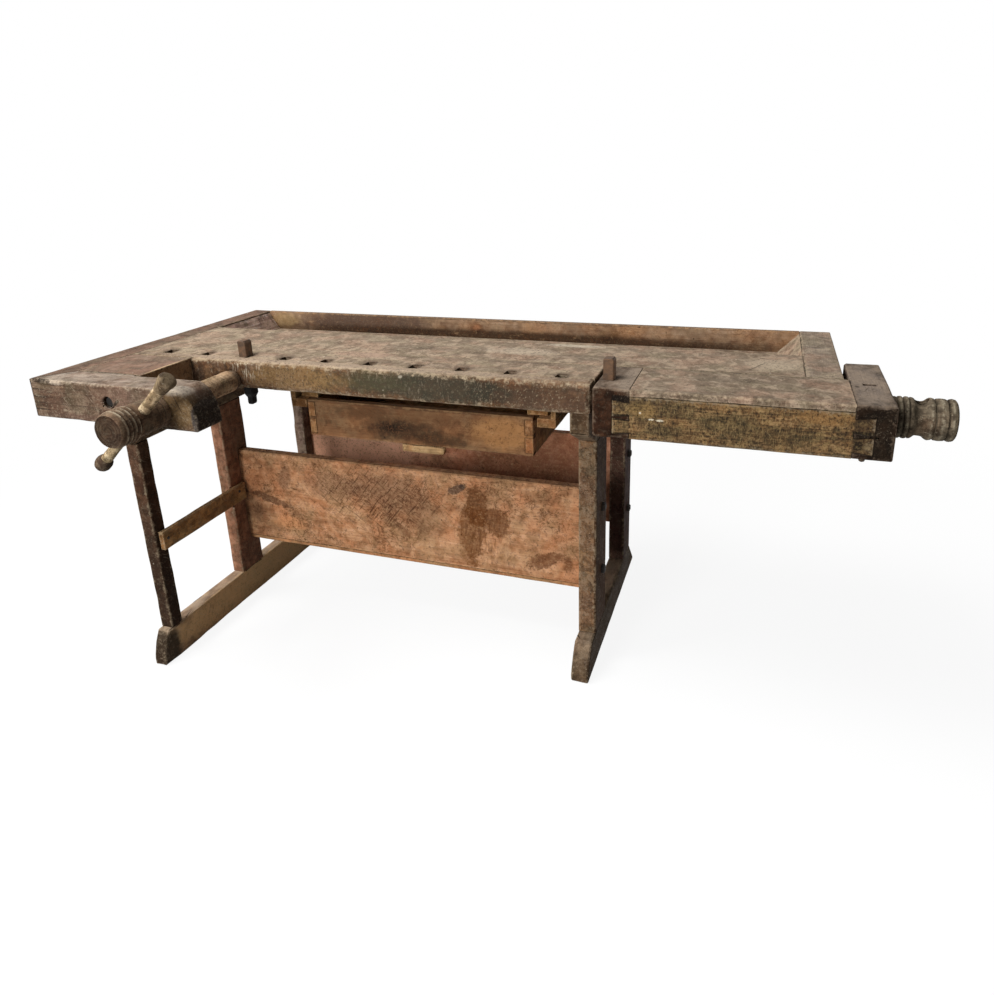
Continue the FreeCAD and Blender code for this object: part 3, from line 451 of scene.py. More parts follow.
# the board's own outline with its free arrises worn round, wavy and chipped,
# and crisp ones where it meets a neighbour
def wornBoard(node, look, material):
    mouths = [(onBench(x - wear["mouthHalf"], wear["mouthFront"], 0),
               onBench(x + wear["mouthHalf"], wear["mouthBack"], 0)) for x in look["mouths"]]
    shape = bmesh.new()
    shape.from_mesh(nodes[node].data)
    bmesh.ops.remove_doubles(shape, verts=shape.verts, dist=wear["weldMm"] * mm)
    planeTurn = math.radians(wear["planeTurn"])
    bmesh.ops.dissolve_limit(shape, angle_limit=planeTurn, verts=shape.verts, edges=shape.edges)
    sharpTurn = math.radians(wear["sharpTurn"])
    flatTurn = math.radians(wear["flatTurn"])
    bridge = shape.edges.layers.int.new("bridge")
    sharp = set()
    for edge in shape.edges:
        if len(edge.link_faces) == 2:
            turn = edge.calc_face_angle()
            edge[bridge] = 1 if turn < flatTurn else 0
            if turn > sharpTurn:
                sharp.add(edge)
    for axis, places in enumerate(slicePlaces(shape, sharp, look["chipMm"] * mm, mouths)):
        across = Vector([1.0 if i == axis else 0.0 for i in range(3)])
        for place in places:
            everything = shape.verts[:] + shape.edges[:] + shape.faces[:]
            bmesh.ops.bisect_plane(shape, geom=everything, dist=0.01 * mm, plane_co=across * place,
                                   plane_no=across)
    bridges = [e for e in shape.edges if e[bridge] and len(e.link_faces) == 2]
    spare = [e for e in bridges if e.calc_face_angle() < flatTurn]
    bmesh.ops.dissolve_edges(shape, edges=spare, use_verts=False)
    shape.normal_update()
    weight = shape.edges.layers.float.new("bevel_weight_edge")
    for edge in shape.edges:
        if len(edge.link_faces) != 2 or not edge.is_convex or edge.calc_face_angle() < sharpTurn:
            continue
        middle = (edge.verts[0].co + edge.verts[1].co) / 2
        rim = wear["mouthRim"] * mm
        if any(all(low[i] - rim < middle[i] < high[i] + rim for i in (0, 1)) for low, high in mouths):
            continue  # a worn mouth has no arris of its own
        inside = middle - (edge.link_faces[0].normal + edge.link_faces[1].normal) * wear["inwardMm"] * mm
        hidden = any(meetsNeighbour(node, inside + face.normal * wear["outwardMm"] * mm)
                     for face in edge.link_faces)
        walls = [other for face in edge.link_faces for other in face.edges
                 if len(other.link_faces) == 2 and not other.is_convex]
        holeTurn = math.radians(wear["holeTurn"])
        boltHole = any(holeTurn < other.calc_face_angle() < sharpTurn for other in walls)
        edge[weight] = look["seam"] / look["arris"] if hidden or boltHole else 1.0
    cut = bpy.data.meshes.new(node + "Cut")
    shape.to_mesh(cut)
    shape.free()
    cut.materials.clear()
    cut.materials.append(material)
    cut.materials.append(material)
    piece = newObject(node + "Worn", cut)
    bevel = piece.modifiers.new("arris", "BEVEL")
    bevel.limit_method = "WEIGHT"
    bevel.width = look["arris"] * mm
    bevel.segments = 2
    bevel.use_clamp_overlap = False
    bevel.loop_slide = False
    bevel.material = 1
    settled = piece.evaluated_get(bpy.context.evaluated_depsgraph_get())
    mesh = bpy.data.meshes.new_from_object(settled)
    piece.modifiers.clear()

    # chips: points inside the worn strip sink, points at its borders slide in the plane of their flat face
    worn = bmesh.new()
    worn.from_mesh(mesh)
    worn.normal_update()
    moves = []
    for vert in worn.verts:
        if not any(face.material_index for face in vert.link_faces):
            continue
        broad = vert.co / (look["chipMm"] * wear["broadChip"] * mm) + Vector((look["seed"], 0, 0))
        fine = vert.co / (look["chipMm"] * wear["fineChip"] * mm) + Vector((0, look["seed"], 0))
        depth = noise.noise(broad) + 0.5 * noise.noise(fine)
        strip = min(e.calc_length() for e in vert.link_edges
                    if any(face.material_index for face in e.link_faces))
        depth = min(max(0.0, depth + wear["chipShift"]) * look["arris"] * look["chip"] * mm, strip)
        slide = vert.normal.copy()
        for flat in vert.link_faces:
            if not flat.material_index:
                slide -= slide.dot(flat.normal) * flat.normal
        if slide.length > 0.1:
            moves.append((vert, slide.normalized() * depth))
    for vert, move in moves:
        vert.co -= move
    sunk = {}
    top = max(v.co.z for v in worn.verts)
    for vert in worn.verts:
        if vert.co.z < top - wear["sinkBelow"] * mm:
            continue
        for low, high in mouths:
            away = math.hypot(*[max(low[i] - vert.co[i], 0, vert.co[i] - high[i]) for i in (0, 1)]) / mm
            uneven = 0.75 + 0.5 * noise.noise(vert.co / (wear["unevenMm"] * mm))
            if away < wear["sinkReach"]:
                vert.co.z -= look["mouthDepth"] * uneven * math.exp(-(away / wear["sinkFade"]) ** 2) * mm
                sunk[vert] = wear["sinkGrime"] * math.exp(-(away / wear["grimeFade"]) ** 2)
    dirt = worn.loops.layers.float.new("seamDirt")
    ways = [Vector([sign if i == axis else 0 for i in range(3)]) for axis in range(3) for sign in (1, -1)]
    for face in worn.faces:
        face.smooth = bool(face.material_index) or any(v in sunk for v in face.verts)
        if face.material_index:
            inside = face.calc_center_median() - face.normal * wear["seamInwardMm"] * mm
            outward = [way for way in ways if way.dot(face.normal) > 0.25]
            if any(meetsNeighbour(node, inside + way * wear["outwardMm"] * mm) for way in outward):
                for loop in face.loops:
                    loop[dirt] = 1.0
        for loop in face.loops:
            loop[dirt] = max(loop[dirt], sunk.get(loop.vert, 0.0))
        face.material_index = 0
    smoothTurn = math.radians(wear["smoothTurn"])
    for edge in worn.edges:
        edge.smooth = len(edge.link_faces) == 2 and edge.calc_face_angle() < smoothTurn
    worn.to_mesh(mesh)
    worn.free()
    mesh.materials.clear()
    mesh.materials.append(material)
    piece.data = mesh
    return seat(piece, node)


# a patch of colour: its place and half sizes on the bench in mm, tone, strength and raggedness; most are
# stains, and those marked below are painted light and painted shade
def stainAndPaintedLight(at, size, tint, amount, ragged, **more):
    return dict(more, at=at, size=size, tint=tint, amount=amount, ragged=ragged)


# scratches of one kind: their turn in degrees, width and run in mm, threshold, tone and strength
def cuts(turn, widthMm, runMm, edge, tint, amount, **more):
    return dict(more, turn=turn, widthMm=widthMm, runMm=runMm, edge=edge, tint=tint, amount=amount)


dogHoles = [145 + 120.5 * hole for hole in range(10)]  # places of the row along the bench, mm

# one base dictionary for each timber; every piece below changes only what differs on it
weatheredBeech = dict(
    timber="weatheredBeech", grain=0, seed=1, fibreMm=3.4, fibreRunMm=150, fibreDepth=0.32, wanderMm=9,
    growthMm=90, growthLines=10, growthDepth=0.06, mottleMm=16, mottleDepth=0.95,
    tones=("#55463a", "#7b6957", "#94816b", "#b09e86"), patchMm=170, patch="#86705f", patchAmount=0.55,
    spots=[], crossShare=0.8, blotchMm=34, blotchAmount=0.6, blotch="#58483a", washAmount=0.4,
    wash="#bca78f", tintAmount=0.35, warm="#a27e68", green="#837960", grimeMm=46, grimeCover=0.28,
    grimeAmount=0.7, grime="#463a2f", endTone="#a89a8c", speckMm=8.0, speckAmount=0.7, speckPale=0.3,
    veinMm=40, veinAmount=0.3, veinReach=0.015, scuffMm=14, scuffRunMm=40, scuffAxis=0, scuffAmount=0.3,
    scuff="#bcab92", dustAndPaintedLightAmount=0.35, dustAndPaintedLight="#9d8d7b", rubMm=8, rubAmount=0.35, rub="#ab987d", flecks=0.03,
    wormHoles=0.03, latheMm=0, lathe="#8a7a66", ridge="#a89a84", reliefMm=1.4, rough=0.66, arris=3.0,
    seam=1.2, chip=0.8, chipMm=32, mouths=[], mouthDepth=3.0, seamAmount=0.85,
    scratches=[
        cuts(62, 2.0, 60, 0.67, "#33291f", 0.55),
        cuts(-38, 1.8, 45, 0.67, "#c0b29a", 0.45)])
grimyBeech = dict(
    weatheredBeech, timber="grimyBeech", tones=("#3c3022", "#6a5537", "#8c7448", "#a98f60"),
    patch="#4b4232", patchAmount=0.7, patchMm=120, grimeCover=0.45, grimeMm=30, grime="#2b251b",
    scuffAmount=0.35, scuff="#b29a6c", speckPale=0.2, blotchMm=30, blotchAmount=0.7, blotch="#2f2a1e",
    washAmount=0.35, wash="#9c8358", tintAmount=0.3, warm="#8a623c", green="#5a5138")
darkBeech = dict(
    weatheredBeech, timber="darkBeech", tones=("#211913", "#3a2e24", "#4f4033", "#6a5a49"),
    patch="#33281f", patchAmount=0.6, grime="#1d1612", scuffAmount=0.2, scuff="#84725f",
    endTone="#b8aca4", rub="#7d6b5a", dustAndPaintedLight="#8d7d6d", speckPale=0.14, blotchAmount=0.5, blotch="#18120e",
    washAmount=0.3, wash="#5a4b3f", tintAmount=0.35, warm="#4b3226", green="#32312a")
trestleOak = dict(
    weatheredBeech, timber="trestleOak", tones=("#4a3b2d", "#6d5b47", "#806d57", "#9a8870"),
    patch="#6b5140", patchAmount=0.5, grimeCover=0.25, grime="#362b21", dustAndPaintedLight="#93806f", flecks=0.015,
    scuffAmount=0.25, scuff="#a3917a", blotchMm=28, blotchAmount=0.5, blotch="#3a2d22", washAmount=0.3,
    wash="#94816b", tintAmount=0.3, warm="#7c5d48", green="#675f4b")
stretcherPine = dict(
    weatheredBeech, timber="stretcherPine", fibreMm=3.6, growthMm=130, growthLines=15, growthDepth=0.10,
    fibreDepth=0.34, mottleDepth=0.8, tones=("#7a5134", "#a2734b", "#b98a60", "#cda277"), patch="#8f6647",
    patchAmount=0.6, patchMm=150, grimeCover=0.2, grimeAmount=0.55, grime="#5b3d28", speckAmount=0.55,
    veinMm=30, veinAmount=0.75, scuffAmount=0.25, scuff="#cfa77c", dustAndPaintedLightAmount=0.25, dustAndPaintedLight="#8a7058",
    rub="#b08a63", rubMm=6, rubAmount=0.3, flecks=0.004, wormHoles=0.05, endTone="#b09a86", blotchMm=40,
    blotchAmount=0.45, blotch="#6a4932", washAmount=0.3, wash="#cfa47a", tintAmount=0.35, warm="#b8754d",
    green="#8c7453", arris=2.0, chip=0.6,
    scratches=[
        cuts(38, 1.8, 50, 0.67, "#3d2718", 0.6),
        cuts(-57, 1.8, 38, 0.67, "#3d2718", 0.55)])
bareRunner = dict(
    stretcherPine, timber="bareRunnerPine", tones=("#76603f", "#9a8055", "#b0966a", "#c4ac82"),
    patch="#8a7048", patchAmount=0.4, grime="#54412a", arris=1.5, chip=0.5, chipMm=20)
print("timbers listed")

benchTop = {
    "dog_strip_face": dict(
        weatheredBeech, seed=3, speckMm=6.5, mottleMm=11, green="#3d3626", warm="#5a3a26", wash="#73583e",
        blotchAmount=0.45, blotch="#241e16", speckPale=0.1, speckAmount=0.9, seamAmount=0.35, arris=9.0,
        rubMm=14, rubAmount=0.6, chip=0.5, chipMm=26, mouths=dogHoles, scuffAxis=2, scuffRunMm=26,
        scuffMm=7, scuffAmount=0.4, flecks=0.03, tones=("#2a1b10", "#482e1e", "#5a3e29", "#715138"),
        spots=[
            stainAndPaintedLight((678, 24, 800), (660, 28, 7), "#a28e79", 0.8, 0.8, core=0.6),
            stainAndPaintedLight((930, 0, 765), (230, 24, 44), "#33332a", 0.8, 1.5),
            stainAndPaintedLight((780, 0, 770), (120, 20, 34), "#46422f", 0.6, 1.8),
            stainAndPaintedLight((1091, 0, 765), (90, 20, 30), "#2c2a22", 0.7, 1.6),
            stainAndPaintedLight((1215, 0, 752), (130, 20, 44), "#4a372b", 0.65, 1.6),
            stainAndPaintedLight((560, 0, 765), (170, 20, 40), "#8a6d45", 0.5, 1.2),
            stainAndPaintedLight((856, 0, 787), (7, 12, 4), "#bdb39f", 0.5, 1.2, turn=20)],
        scratches=[
            cuts(3, 2.0, 26, 0.61, "#cfc4ac", 0.6, at=(425, 0, 785), size=(48, 24, 40)),
            cuts(35, 4.0, 7, 0.64, "#9d8d72", 0.5, at=(1180, 0, 755), size=(180, 30, 70)),
            cuts(74, 2.2, 26, 0.68, "#b3a488", 0.35)]),
    "dog_strip_core": dict(
        weatheredBeech, patch="#705c4d", patchAmount=0.75, seed=5, speckAmount=0.85, seamAmount=0.35,
        mouths=dogHoles,
        spots=[
            stainAndPaintedLight((hole + 2, 55, 800), (24, 30, 8), "#38251a", 0.88, 0.6, core=0.5) for hole in dogHoles]),
    "slab_middle_plank": dict(
        weatheredBeech, patch="#6b5646", patchAmount=0.75, seed=7, speckAmount=0.85, seamAmount=0.35,
        spots=[
            stainAndPaintedLight((1078, 140, 800), (110, 14, 20), "#4f4338", 0.6, 1.6),
            stainAndPaintedLight((682, 130, 800), (100, 40, 20), "#b1907b", 0.55, 1.4)]),
    "slab_rear_plank": dict(
        weatheredBeech, patch="#6b5646", patchAmount=0.75, seed=11, speckAmount=0.85, seamAmount=0.35,
        spots=[
            stainAndPaintedLight((1670, 240, 800), (75, 62, 20), "#b3a28b", 0.7, 1.1),
            stainAndPaintedLight((1637, 213, 800), (60, 3.0, 20), "#2a221b", 0.7, 0.7, turn=-64, about=2),
            stainAndPaintedLight((1500, 153, 800), (190, 6, 20), "#211a14", 0.8, 0.7),
            stainAndPaintedLight((1072, 240, 800), (110, 40, 20), "#c2b29c", 0.5, 1.6),
            stainAndPaintedLight((770, 222, 800), (70, 26, 20), "#5e5042", 0.6, 1.8),
            stainAndPaintedLight((866, 219, 800), (60, 18, 20), "#54463a", 0.6, 1.8),
            stainAndPaintedLight((1243, 214, 800), (90, 26, 20), "#5b4f43", 0.55, 1.8),
            stainAndPaintedLight((1196, 325, 800), (90, 18, 20), "#c8bba6", 0.6, 1.6)]),
    "left_end_cap": dict(
        weatheredBeech, seed=13, scuff="#96856f", dustAndPaintedLight="#857564", patch="#6a5547", green="#5f5546",
        warm="#7a5a49", dustAndPaintedLightAmount=0.2, wash="#84685a", blotch="#3a2a21", grain=1, arris=4.0,
        tones=("#392820", "#563f34", "#664f41", "#7b6253"),
        spots=[
            stainAndPaintedLight((44, -211, 800), (58, 6.5, 20), "#17110c", 0.95, 0.35, turn=-47, about=2, core=0.7),
            stainAndPaintedLight((66, 200, 800), (2.4, 420, 20), "#231b15", 0.7, 0.3),
            stainAndPaintedLight((24, 54, 800), (6, 5, 10), "#17110d", 0.9, 0.4)]),
    "right_end_cap": dict(
        weatheredBeech, seed=17, grain=1, arris=3.5, tones=("#4a403a", "#685c53", "#7f7263", "#968a7a")),
    "tray_floor": dict(weatheredBeech, seed=19, grimeCover=0.45),
    "tray_back_rail": dict(
        stretcherPine, seed=23, tintAmount=0.25, blotchAmount=0.25, green="#6e604b", warm="#8a643f",
        wash="#9f8366", blotch="#4f3929", speckPale=0.12,
        tones=("#584234", "#755d49", "#876f59", "#9a846e"),
        spots=[
            stainAndPaintedLight((420, 595, 772), (290, 30, 60), "#42352f", 0.85, 0.9),
            stainAndPaintedLight((124, 595, 772), (70, 20, 30), "#8a7650", 0.45, 1.2),
            stainAndPaintedLight((816, 595, 774), (26, 12, 20), "#5d3c28", 0.75, 0.5),
            stainAndPaintedLight((816, 595, 774), (14, 12, 11), "#8a5f43", 0.8, 0.4),
            stainAndPaintedLight((1226, 595, 763), (40, 20, 26), "#5b4028", 0.6, 1.2),
            # a dark band along the rail's foot: grime and painted shade of the tray's recess
            stainAndPaintedLight((900, 595, 746), (1000, 20, 27), "#2a1e16", 0.9, 0.5),
            stainAndPaintedLight((900, 600, 800), (1000, 20, 6), "#57493d", 0.85, 1.2)]),
    # pale tones that make up for the shade in the tray's corner: painted light
    "tray_left_ramp": dict(
        weatheredBeech, seed=29, tones=("#8b6d67", "#c6a095", "#edc3b6", "#ffede2"), grain=1, fibreMm=5,
        fibreDepth=0.9),
    "tray_right_ramp": dict(weatheredBeech, seed=31, grain=1),
    "vise_arm": dict(
        weatheredBeech, seed=37, dustAndPaintedLightAmount=0.6, dustAndPaintedLight="#b8a898", rub="#a3937f", rubAmount=0.5,
        green="#534b38", warm="#644839", blotchAmount=0.5, blotch="#382a21", wash="#83705e",
        speckPale=0.2, arris=5.0, fibreDepth=0.8, tones=("#2f2117", "#49352a", "#594436", "#705945"),
        patch="#5f4b3e", scuffAmount=0.35,
        spots=[
            stainAndPaintedLight((290, -255, 770), (85, 20, 36), "#8f7667", 0.25, 1.2),
            stainAndPaintedLight((443, -255, 752), (55, 40, 50), "#6d5636", 0.75, 0.9),
            stainAndPaintedLight((480, -213, 735), (16, 70, 60), "#413c3b", 0.95, 0.5, core=0.8),
            stainAndPaintedLight((435, -240, 796), (48, 32, 14), "#a39a8c", 0.65, 1.2),
            stainAndPaintedLight((476, -222, 792), (16, 60, 18), "#6b655f", 0.6, 1.0),
            stainAndPaintedLight((435, -255, 771), (1.6, 14, 30), "#1d1611", 0.85, 0.3, turn=24),
            stainAndPaintedLight((258, -255, 757), (17, 20, 5), "#140f0c", 0.9, 0.3, turn=38),
            stainAndPaintedLight((20, -255, 776), (34, 14, 2.4), "#2a201a", 0.8, 0.2),
            stainAndPaintedLight((20, -255, 757), (38, 14, 2.4), "#2a201a", 0.8, 0.2),
            stainAndPaintedLight((20, -255, 742), (34, 14, 2.0), "#2a201a", 0.7, 0.2),
            stainAndPaintedLight((20, -255, 726), (38, 14, 2.4), "#2a201a", 0.8, 0.2),
            stainAndPaintedLight((120, -255, 742), (110, 14, 2.2), "#3a2c23", 0.6, 0.8),
            stainAndPaintedLight((85, -255, 795), (26, 14, 7), "#a8998a", 0.6, 1.4),
            stainAndPaintedLight((165, -171, 800), (96, 7, 20), "#17110c", 0.95, 0.35, core=0.7),
            stainAndPaintedLight((44, -211, 800), (58, 6.5, 20), "#17110c", 0.95, 0.35, turn=-47, about=2, core=0.7),
            stainAndPaintedLight((200, -255, 712), (190, 20, 14), "#5a4038", 0.5, 0.8)]),
    "vise_filler_block": dict(
        weatheredBeech, seed=41, scuff="#a08d78", patch="#745d4e", green="#6c6150", warm="#8a6653",
        dustAndPaintedLightAmount=0.2, wash="#907767", seamAmount=0.6,
        tones=("#3e2c22", "#5d4439", "#725748", "#8a6c5c"),
        spots=[
            # a pale patch on the filler's right face, the wall of the gap: painted light
            stainAndPaintedLight((258, -85, 770), (8, 95, 70), "#d2b18a", 0.85, 0.5, core=0.8),
            stainAndPaintedLight((165, -171, 800), (96, 7, 20), "#17110c", 0.95, 0.35, core=0.7)]),
}
tailVise = {
    "tail_front_plank": dict(
        grimyBeech, seed=43, tintAmount=0.2, mottleMm=10, speckMm=6.0, fibreDepth=0.75, blotchMm=22,
        scuffAmount=0.3, blotchAmount=0.4, patch="#423629", grime="#262019", speckAmount=0.95,
        tones=("#35281c", "#5c442d", "#755839", "#90714f"), arris=2.5, seam=0.8, scuffAxis=2,
        scuffRunMm=22, scuffMm=6, flecks=0.03,
        spots=[
            stainAndPaintedLight((1496, -24, 762), (46, 12, 20), "#2d2c20", 0.55, 1.8),
            stainAndPaintedLight((1464, -24, 717), (50, 12, 16), "#2a281d", 0.55, 1.8),
            stainAndPaintedLight((1600, -24, 741), (90, 12, 30), "#3a3626", 0.5, 1.9),
            stainAndPaintedLight((1694, -24, 722), (60, 12, 22), "#2f2b1f", 0.5, 1.9),
            stainAndPaintedLight((1423, -24, 758), (34, 12, 20), "#8d7146", 0.5, 1.2),
            stainAndPaintedLight((1770, -24, 770), (60, 12, 16), "#936d43", 0.6, 1.2),
            stainAndPaintedLight((1440, -24, 739), (7, 12, 2.6), "#d0c7b0", 0.85, 1.0),
            stainAndPaintedLight((1458, -24, 738), (9, 12, 3.0), "#d0c7b0", 0.85, 1.0),
            stainAndPaintedLight((1377, -24, 739), (19, 12, 7.5), "#231c15", 0.92, 0.12, core=0.85, square=True),
            stainAndPaintedLight((1377, -24, 701), (19, 12, 5.0), "#2a2018", 0.85, 0.12, core=0.85, square=True),
            stainAndPaintedLight((1845, -24, 741), (24, 12, 70), "#35291f", 0.78, 0.12, core=0.9, square=True),
            stainAndPaintedLight((1840, -24, 742), (22, 12, 6.0), "#16110d", 0.92, 0.12, core=0.85, square=True),
            stainAndPaintedLight((1832, -24, 719), (8, 12, 9), "#1b1511", 0.88, 0.2, core=0.8, square=True),
            stainAndPaintedLight((1848, -24, 718), (8, 12, 11), "#6f5f47", 0.8, 0.3),
            stainAndPaintedLight((1838, -24, 763), (12, 12, 6), "#57452f", 0.7, 0.4)],
        scratches=[
            cuts(2, 1.7, 20, 0.6, "#8f7853", 0.5, at=(1580, -24, 740), size=(260, 30, 70)),
            cuts(14, 1.7, 24, 0.63, "#231c13", 0.5, at=(1580, -24, 740), size=(260, 30, 70)),
            cuts(-48, 1.8, 50, 0.7, "#b7a47c", 0.5),
            cuts(88, 2.0, 60, 0.66, "#2b2318", 0.5)]),
    "tail_jaw_block": dict(
        darkBeech, seed=47, endTone="#d8d0c8", green="#2d2921", warm="#442c20", wash="#4f3b2d",
        blotch="#160f0a", scuffAmount=0.15, tones=("#1b1009", "#2f1d13", "#412a1d", "#593e2d"), grain=1,
        arris=3.5, seam=0.8, dustAndPaintedLightAmount=0.9, mouths=[1337], mouthDepth=1.5,
        spots=[
            stainAndPaintedLight((1377, -24, 778), (20, 12, 9), "#161210", 0.92, 0.12, core=0.85, square=True),
            stainAndPaintedLight((1384, 66, 800), (26, 110, 20), "#8f8070", 0.8, 0.9, core=0.6)]),
    "tail_end_block": dict(
        darkBeech, seed=53, endTone="#d8d0c8", green="#23201b", warm="#301f18", wash="#3a2d22",
        blotch="#0f0a07", scuffAmount=0.15, tones=("#0e0805", "#1b120b", "#271b12", "#38291c"), grain=1,
        arris=3.5, seam=0.8, dustAndPaintedLightAmount=0.95,
        spots=[
            # a pale patch on the end block's right face: painted light
            stainAndPaintedLight((1896, 95, 742), (4, 300, 120), "#5f4c3d", 0.75, 0.5, core=0.8),
            stainAndPaintedLight((1852, 130, 800), (46, 190, 14), "#8f8175", 0.55, 1.2),
            stainAndPaintedLight((1874, 166, 800), (20, 4, 20), "#1c1612", 0.85, 0.4, turn=3, about=2),
            stainAndPaintedLight((1850, 90, 800), (1.5, 20, 20), "#1c1612", 0.85, 0.4, turn=18, about=2),
            stainAndPaintedLight((1832, 104, 800), (7, 9, 20), "#2a211a", 0.75, 0.8),
            stainAndPaintedLight((1846, 68, 800), (16, 1.5, 20), "#1c1612", 0.85, 0.4, turn=30, about=2)]),
    "tail_top_board": dict(
        weatheredBeech, seed=59, speckAmount=0.85, arris=5.0,
        tones=("#42362d", "#625344", "#766755", "#8b7f69"),
        spots=[
            stainAndPaintedLight((1590, 95, 800), (120, 24, 20), "#55483c", 0.6, 1.6),
            stainAndPaintedLight((1608, 150, 800), (214, 6, 20), "#211a14", 0.8, 0.7),
            stainAndPaintedLight((1500, -20, 800), (100, 14, 10), "#4a3e33", 0.6, 1.6)]),
    "tail_lower_guide": dict(grimyBeech, seed=61),
    "tail_guide_rail": dict(grimyBeech, seed=67),
    "tail_nut_block": dict(grimyBeech, seed=71, grain=1),
    "garter_key": dict(darkBeech, seed=73, grain=2, arris=1.2, chipMm=14),
}
